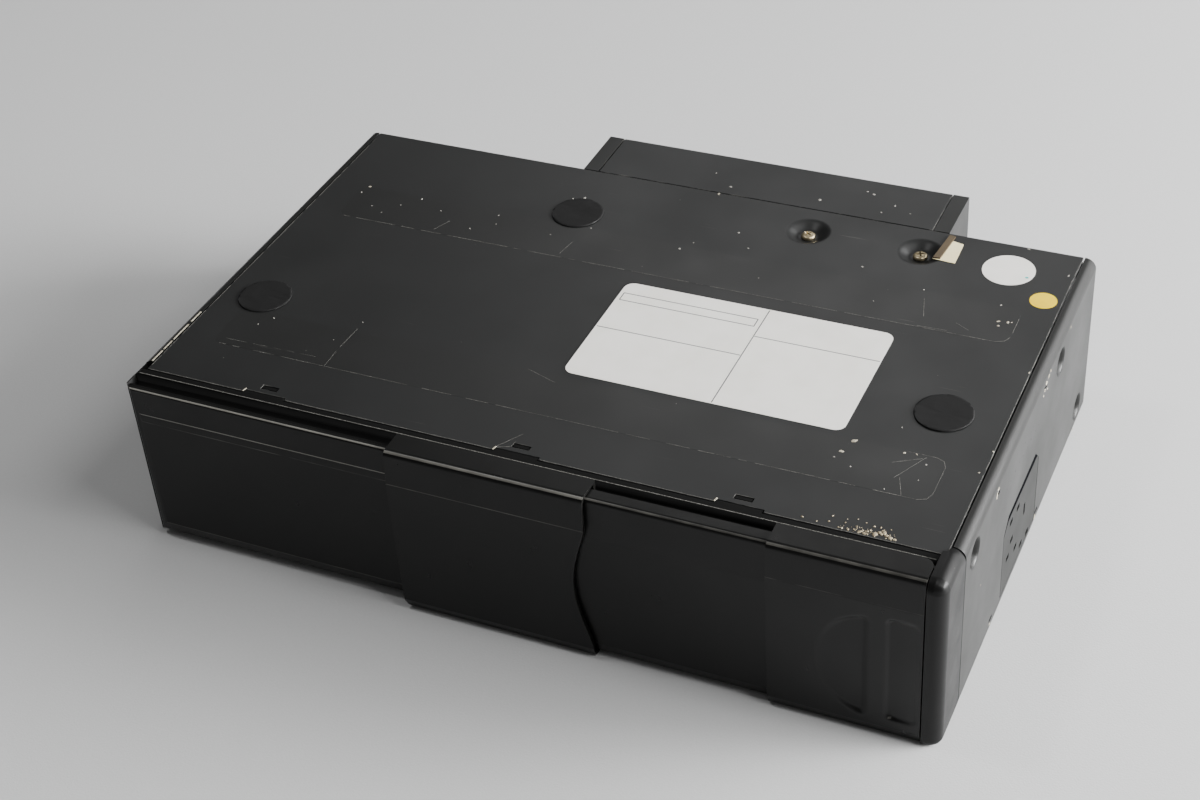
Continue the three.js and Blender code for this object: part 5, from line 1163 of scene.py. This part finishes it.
EDGE_CRUMBS = (
    (99.3, 1.2, 1.6), (100.6, 1.0, 1.5), (103.4, 1.6, 1.8), (104.6, 2.4, 2.0), (105.6, 2.8, 1.8),
    (106.4, 2.1, 1.6), (107.6, 1.5, 1.5), (108.7, 1.3, 1.3), (102.3, 4.5, 0.8), (104.1, 4.7, 1.0),
    (96.2, 1.1, 1.0), (94.5, 1.1, 0.8), (90.4, 2.5, 0.7), (90.7, 4.9, 0.6), (87.4, 1.5, 0.7),
    (83.2, 1.9, 0.8), (94.7, 3.5, 0.6), (101.8, 2.6, 0.7), (98.0, 3.0, 0.6), (105.2, 4.0, 0.7),
)

# Spilled crumbs: middle and spread along the front edge, start and spread towards the rear
CRUMB_COUNT = 70
CRUMB_TRAIL = (102.5, 5.0, 0.6, 2.2)
CRUMB_LIMITS = (110, 7)
CRUMB_SIZES, CRUMB_HIGH = (0.2, 0.7), 0.12

# More marks of use: dust on the rear box, and marks on the right side, where the bright flecks about the
# lances are partly chips and partly painted highlights on the lances' lit edges
BOX_DUST = (
    (5.5, 150.5, 1.1), (36, 152, 1.6), (49, 161.5, 1.0), (51.5, 160.5, 1.2), (60, 156, 0.7),
    (-2, 157, 0.6), (57, 151, 0.7), (66, 153, 0.6),
)
SIDE_CHIPS_AND_LANCE_GLINTS = (
    (35, 53, 1.4), (33.6, 51.6, 2.0), (34.5, 3.4, 1.0), (84.5, 3.2, 1.6), (132, 1.2, 1.2),
    (86.5, 52, 1.8), (88, 49, 1.0), (84.6, 50.8, 1.7), (83.4, 49.6, 1.4), (88.6, 53, 1.5),
    (90.6, 53.6, 1.2), (85.6, 53, 1.0), (114.5, 53, 1.2), (21, 30, 0.7),
)
SIDE_SCUFFS = (
    (80, 41.5, 0.8), (76, 42.3, 0.7), (71, 43, 0.9), (67, 43, 0.7), (62, 43.8, 0.8), (58.5, 44.2, 0.7),
    (54, 44.5, 1.0), (49, 44.8, 0.8), (45, 45, 0.7), (73, 46, 0.6), (64, 47, 0.6),
)


def flat_print(name, outline, material, slot, thick=PRINT_THICK, low=PLATE_SKIN, edge=0.03):
    solid = along_z(outline, low, low + thick)
    return new_piece(name, soften(solid, edge, 1, 60), slot, "housing", material=material)


def stroke(solid, points, wide, low, thick=0.02):
    """Adds a thin strip along a line of points in X and Y."""
    rings = []
    for i, (x, y) in enumerate(points):
        before, after = points[max(i - 1, 0)], points[min(i + 1, len(points) - 1)]
        along = Vector((after[0] - before[0], after[1] - before[1])).normalized()
        side = Vector((-along.y, along.x)) * wide / 2
        rings.append([(x - side.x, y - side.y, low), (x + side.x, y + side.y, low),
                      (x + 0.7 * side.x, y + 0.7 * side.y, low + thick),
                      (x - 0.7 * side.x, y - 0.7 * side.y, low + thick)])
    loft(solid, rings)


def add_label():
    """A white label with its ruled lines and empty box."""
    left, right, front, rear = LABEL
    flat_print("label_sheet", rounded(left, right, front, rear, [LABEL_RADIUS] * 4), LABEL_PAPER, "nylon")
    box_left, box_right, box_front, box_rear = LABEL_BOX
    rules = bmesh.new()
    for line in (((LABEL_DIVIDER, front + 0.4), (LABEL_DIVIDER, rear - 0.4)),
                 ((left + 0.4, LABEL_LEFT_RULE), (LABEL_DIVIDER - 0.3, LABEL_LEFT_RULE)),
                 ((LABEL_DIVIDER + 0.3, LABEL_RIGHT_RULE), (right - 0.4, LABEL_RIGHT_RULE)),
                 ((box_left, box_front), (box_right, box_front)),
                 ((box_left, box_rear), (box_right, box_rear)),
                 ((box_left, box_front), (box_left, box_rear)),
                 ((box_right, box_front), (box_right, box_rear))):
        stroke(rules, line, RULE_WIDE, PRINT_TOP)
    new_marks("label_rules", rules, BLACK_INK, "dark")


def add_stickers():
    def disc(spot, sides, squash=1.0):
        x, y, radius = spot
        return [(x + a, y + squash * b) for a, b, _ in circle(radius, 0, sides)]

    flat_print("round_sticker", disc(STICKER, 72), LABEL_PAPER, "nylon")
    flat_print("yellow_dot", disc(YELLOW_DOT, 48), YELLOW_PAPER, "nylon")
    flat_print("ink_spot", disc(INK_SPOT, 20, 0.8), TEAL_INK, "nylon", 0.015, PRINT_TOP, 0.004)
    flat_print("tape_scrap", TAPE_SCRAP, TAPE_PAPER, "nylon", 0.14)
    flat_print("tape_fold", TAPE_FOLD, BROWN_TAPE, "cap", 0.5, PLATE_SKIN + 0.15)


def add_film():
    """What clear tape left on the paint: two smooth bands with round ends."""
    for name, (left, right, front, rear) in (("upper_film", UPPER_FILM), ("lower_film", LOWER_FILM)):
        outline = rounded(left, right, front, rear, [FILM_RADIUS] * 4)
        new_marks(name, along_z(outline, PLATE_SKIN - 0.005, FILM_TOP), FILM)


def broken_line(name, points, wide, share):
    """A thin, broken line of lifted paint along a path on the base plate."""
    pick = random.Random(SEED + len(points))
    solid = bmesh.new()
    for (x0, y0), (x1, y1) in zip(points, points[1:]):
        count = max(1, round(math.dist((x0, y0), (x1, y1)) / DASH))
        for i in range(count):
            if pick.random() < share:
                ends = [(x0 + (x1 - x0) * part / count, y0 + (y1 - y0) * part / count)
                        for part in (i, i + 1)]
                stroke(solid, ends, wide * pick.uniform(0.5, 1.2), FILM_TOP + 0.005)
    new_marks(name, solid, LIFTED_PAINT_AND_HIGHLIGHT)


def fleck(solid, place, facing, size, pick, high):
    """Adds a low irregular crumb on a wall."""
    sides = pick.randint(5, 8)
    reach = [size * pick.uniform(0.35, 0.6) for _ in range(sides)]
    turns = [2 * math.pi * i / sides for i in range(sides)]
    stretch, spin = pick.uniform(0.5, 1), pick.uniform(0, math.pi)
    turn = Matrix.Translation(place) @ FACING[facing] @ Matrix.Rotation(spin, 4, "Z")
    rings = []
    for share, up in ((1, 0.0), (0.9, 0.6 * high), (0.45, high)):
        ring = [(share * r * math.cos(a), share * r * math.sin(a) * stretch, up)
                for r, a in zip(reach, turns)]
        rings.append([turn @ Vector(point) for point in ring])
    loft(solid, rings)


def add_flecks(name, places, material, low=FILM_TOP, high=0.06, facing="up"):
    """Crumbs at listed places, each with its size, on a face that lies at a height or distance."""
    pick = random.Random(SEED + len(name))
    solid = bmesh.new()
    for first, second, size in places:
        place = (first, second, low) if facing == "up" else (low, first, second)
        fleck(solid, Vector(place), facing, size, pick, high)
    new_marks(name, solid, material, "plate" if facing == "up" else "shell")


def add_crumb_trail():
    """Fine crumbs spilled about the larger ones at the front edge."""
    pick = random.Random(SEED + 5)
    solid = bmesh.new()
    middle, along, start, back = CRUMB_TRAIL
    right, rear = CRUMB_LIMITS
    for _ in range(CRUMB_COUNT):
        x, y = pick.gauss(middle, along), abs(pick.gauss(0, back)) + start
        if x < right and y < rear:
            fleck(solid, (x, y, PLATE_SKIN), "up", pick.uniform(*CRUMB_SIZES), pick, CRUMB_HIGH)
    new_marks("fine_crumbs", solid, CRUMB)


def add_plate_marks():
    """Tape outlines, scratches, chips and crumbs on the base plate."""
    left, right, front, rear = UPPER_FILM
    broken_line("upper_tape_line", [(left + 2, front), (right - 4, front), (right - 1.2, front + 1),
                                    (right, front + 3.5), (right, rear - 5)], 0.2, 0.85)
    left, right, front, rear = LOWER_FILM
    broken_line("lower_tape_line", [(left, front), (right - 3.5, front), (right - 1, front + 1),
                                    (right, front + 3.5), (right, rear - 3.5), (right - 1, rear - 1),
                                    (right - 3.5, rear), (right - 12, rear)], 0.18, 0.8)
    broken_line("inner_tape_line", INNER_TAPE_LINE, 0.14, 0.7)
    for number, path in enumerate(PLATE_SCRATCHES):
        broken_line(f"plate_scratch_{number + 1}", path, 0.16, 0.9)
    add_flecks("plate_dust", PLATE_DUST, DUST)
    add_flecks("plate_chips", PLATE_CHIPS, BARE_METAL_AND_GLINT)
    add_flecks("edge_crumbs", EDGE_CRUMBS, CRUMB, PLATE_SKIN, 0.2)
    add_crumb_trail()
    add_flecks("box_dust", BOX_DUST, DUST, PLATE_SKIN)


def add_notch_glints_and_bare_seam():
    """Bright ticks at the hook notches, painted highlights where each notch's left wall catches the light,
    and scuffed metal along the front of the left seam.
    """
    solid = bmesh.new()
    # Painted highlights on the lit left walls of the hook notches
    for place in HOOKS:
        left = place - HOOK_NOTCH[0] / 2
        stroke(solid, [(left - 0.25, 0.1), (left + 0.15, 1.6)], 0.5, PLATE_SKIN, 0.05)
    seam = ROLLED_EDGE - BODY_HALF - 0.35
    for front, rear in BARE_SEAM:
        stroke(solid, [(seam, front), (seam, rear)], 0.55, PLATE_SKIN, 0.03)
    new_marks("notch_glints_and_bare_seam", solid, BARE_METAL_AND_GLINT)


def add_front_edge_lines():
    """Light lines along the bezel's ridge and along the base plate's front edge between its notches:
    painted highlights on edges that catch the light, partly scuffed paint.
    """
    lines = bmesh.new()
    # Painted highlight along the bezel ridge's top edge
    ridge = BEZEL_RIDGE + 0.2
    stroke(lines, [(3 - BODY_HALF, ridge), (CAP_LEFT - 1, ridge)], 0.3, BODY_TOP + 0.01)
    # Painted highlight along the plate's front edge
    notches = [place + side * (HOOK_NOTCH[0] / 2 + 0.5) for place in HOOKS for side in (-1, 1)]
    ends = [0.5 - PLATE_HALF, *notches, PLATE_HALF - 0.5]
    for left, right in zip(ends[::2], ends[1::2]):
        stroke(lines, [(left, 0.22), (right, 0.22)], 0.18, PLATE_SKIN)
    new_marks("front_edge_lines", lines, LIFTED_PAINT_AND_HIGHLIGHT)


def add_side_marks():
    """Chips and rubs on the right side and along the seams; the flecks at the lances are partly painted
    highlights on their lit edges.
    """
    side = BODY_HALF + 0.01
    # Bright flecks, at the lances partly painted highlights on lit edges
    add_flecks("side_chips", SIDE_CHIPS_AND_LANCE_GLINTS, BARE_METAL_AND_GLINT, side, facing="right")
    add_flecks("side_scuffs", SIDE_SCUFFS, BLACK_INK, side, 0.03, "right")
    pick = random.Random(SEED)
    solid = bmesh.new()
    for edge in (-PLATE_HALF, PLATE_HALF):
        back = 2.0
        while back < BODY_REAR - 4:
            reach = pick.uniform(2, 9)
            x = edge - math.copysign(0.22, edge)
            rear = min(back + reach, BODY_REAR - 2)
            stroke(solid, [(x, back), (x, rear)], pick.uniform(0.1, 0.24), PLATE_SKIN)
            back += reach + pick.choice((0, 0, 0.5, 2))
    new_marks("seam_wear", solid, LIFTED_PAINT_AND_HIGHLIGHT)


def dress_nodes():
    """Gives every CAD node the finish of its slot."""
    for name, node in frame["nodes"].items():
        node.data.materials.clear()
        node.data.materials.append(MATERIALS[slot_of(name)])


add_camera()
add_world()
for light_name, light in LIGHTS.items():
    add_softbox(light_name, *light)
add_floor()
dress_nodes()
housing_shell()
base_plate()
front_bezel()
middle_cover()
grip_door()
left_front_panel()
angle_plate("left")
angle_plate("right")
for refined_node, node_edge in REFINED.items():
    new_version(refined_node, soften(solid_of(refined_node), node_edge))
add_screws()
add_caps()
add_label()
add_stickers()
add_film()
add_plate_marks()
add_notch_glints_and_bare_seam()
add_front_edge_lines()
add_side_marks()
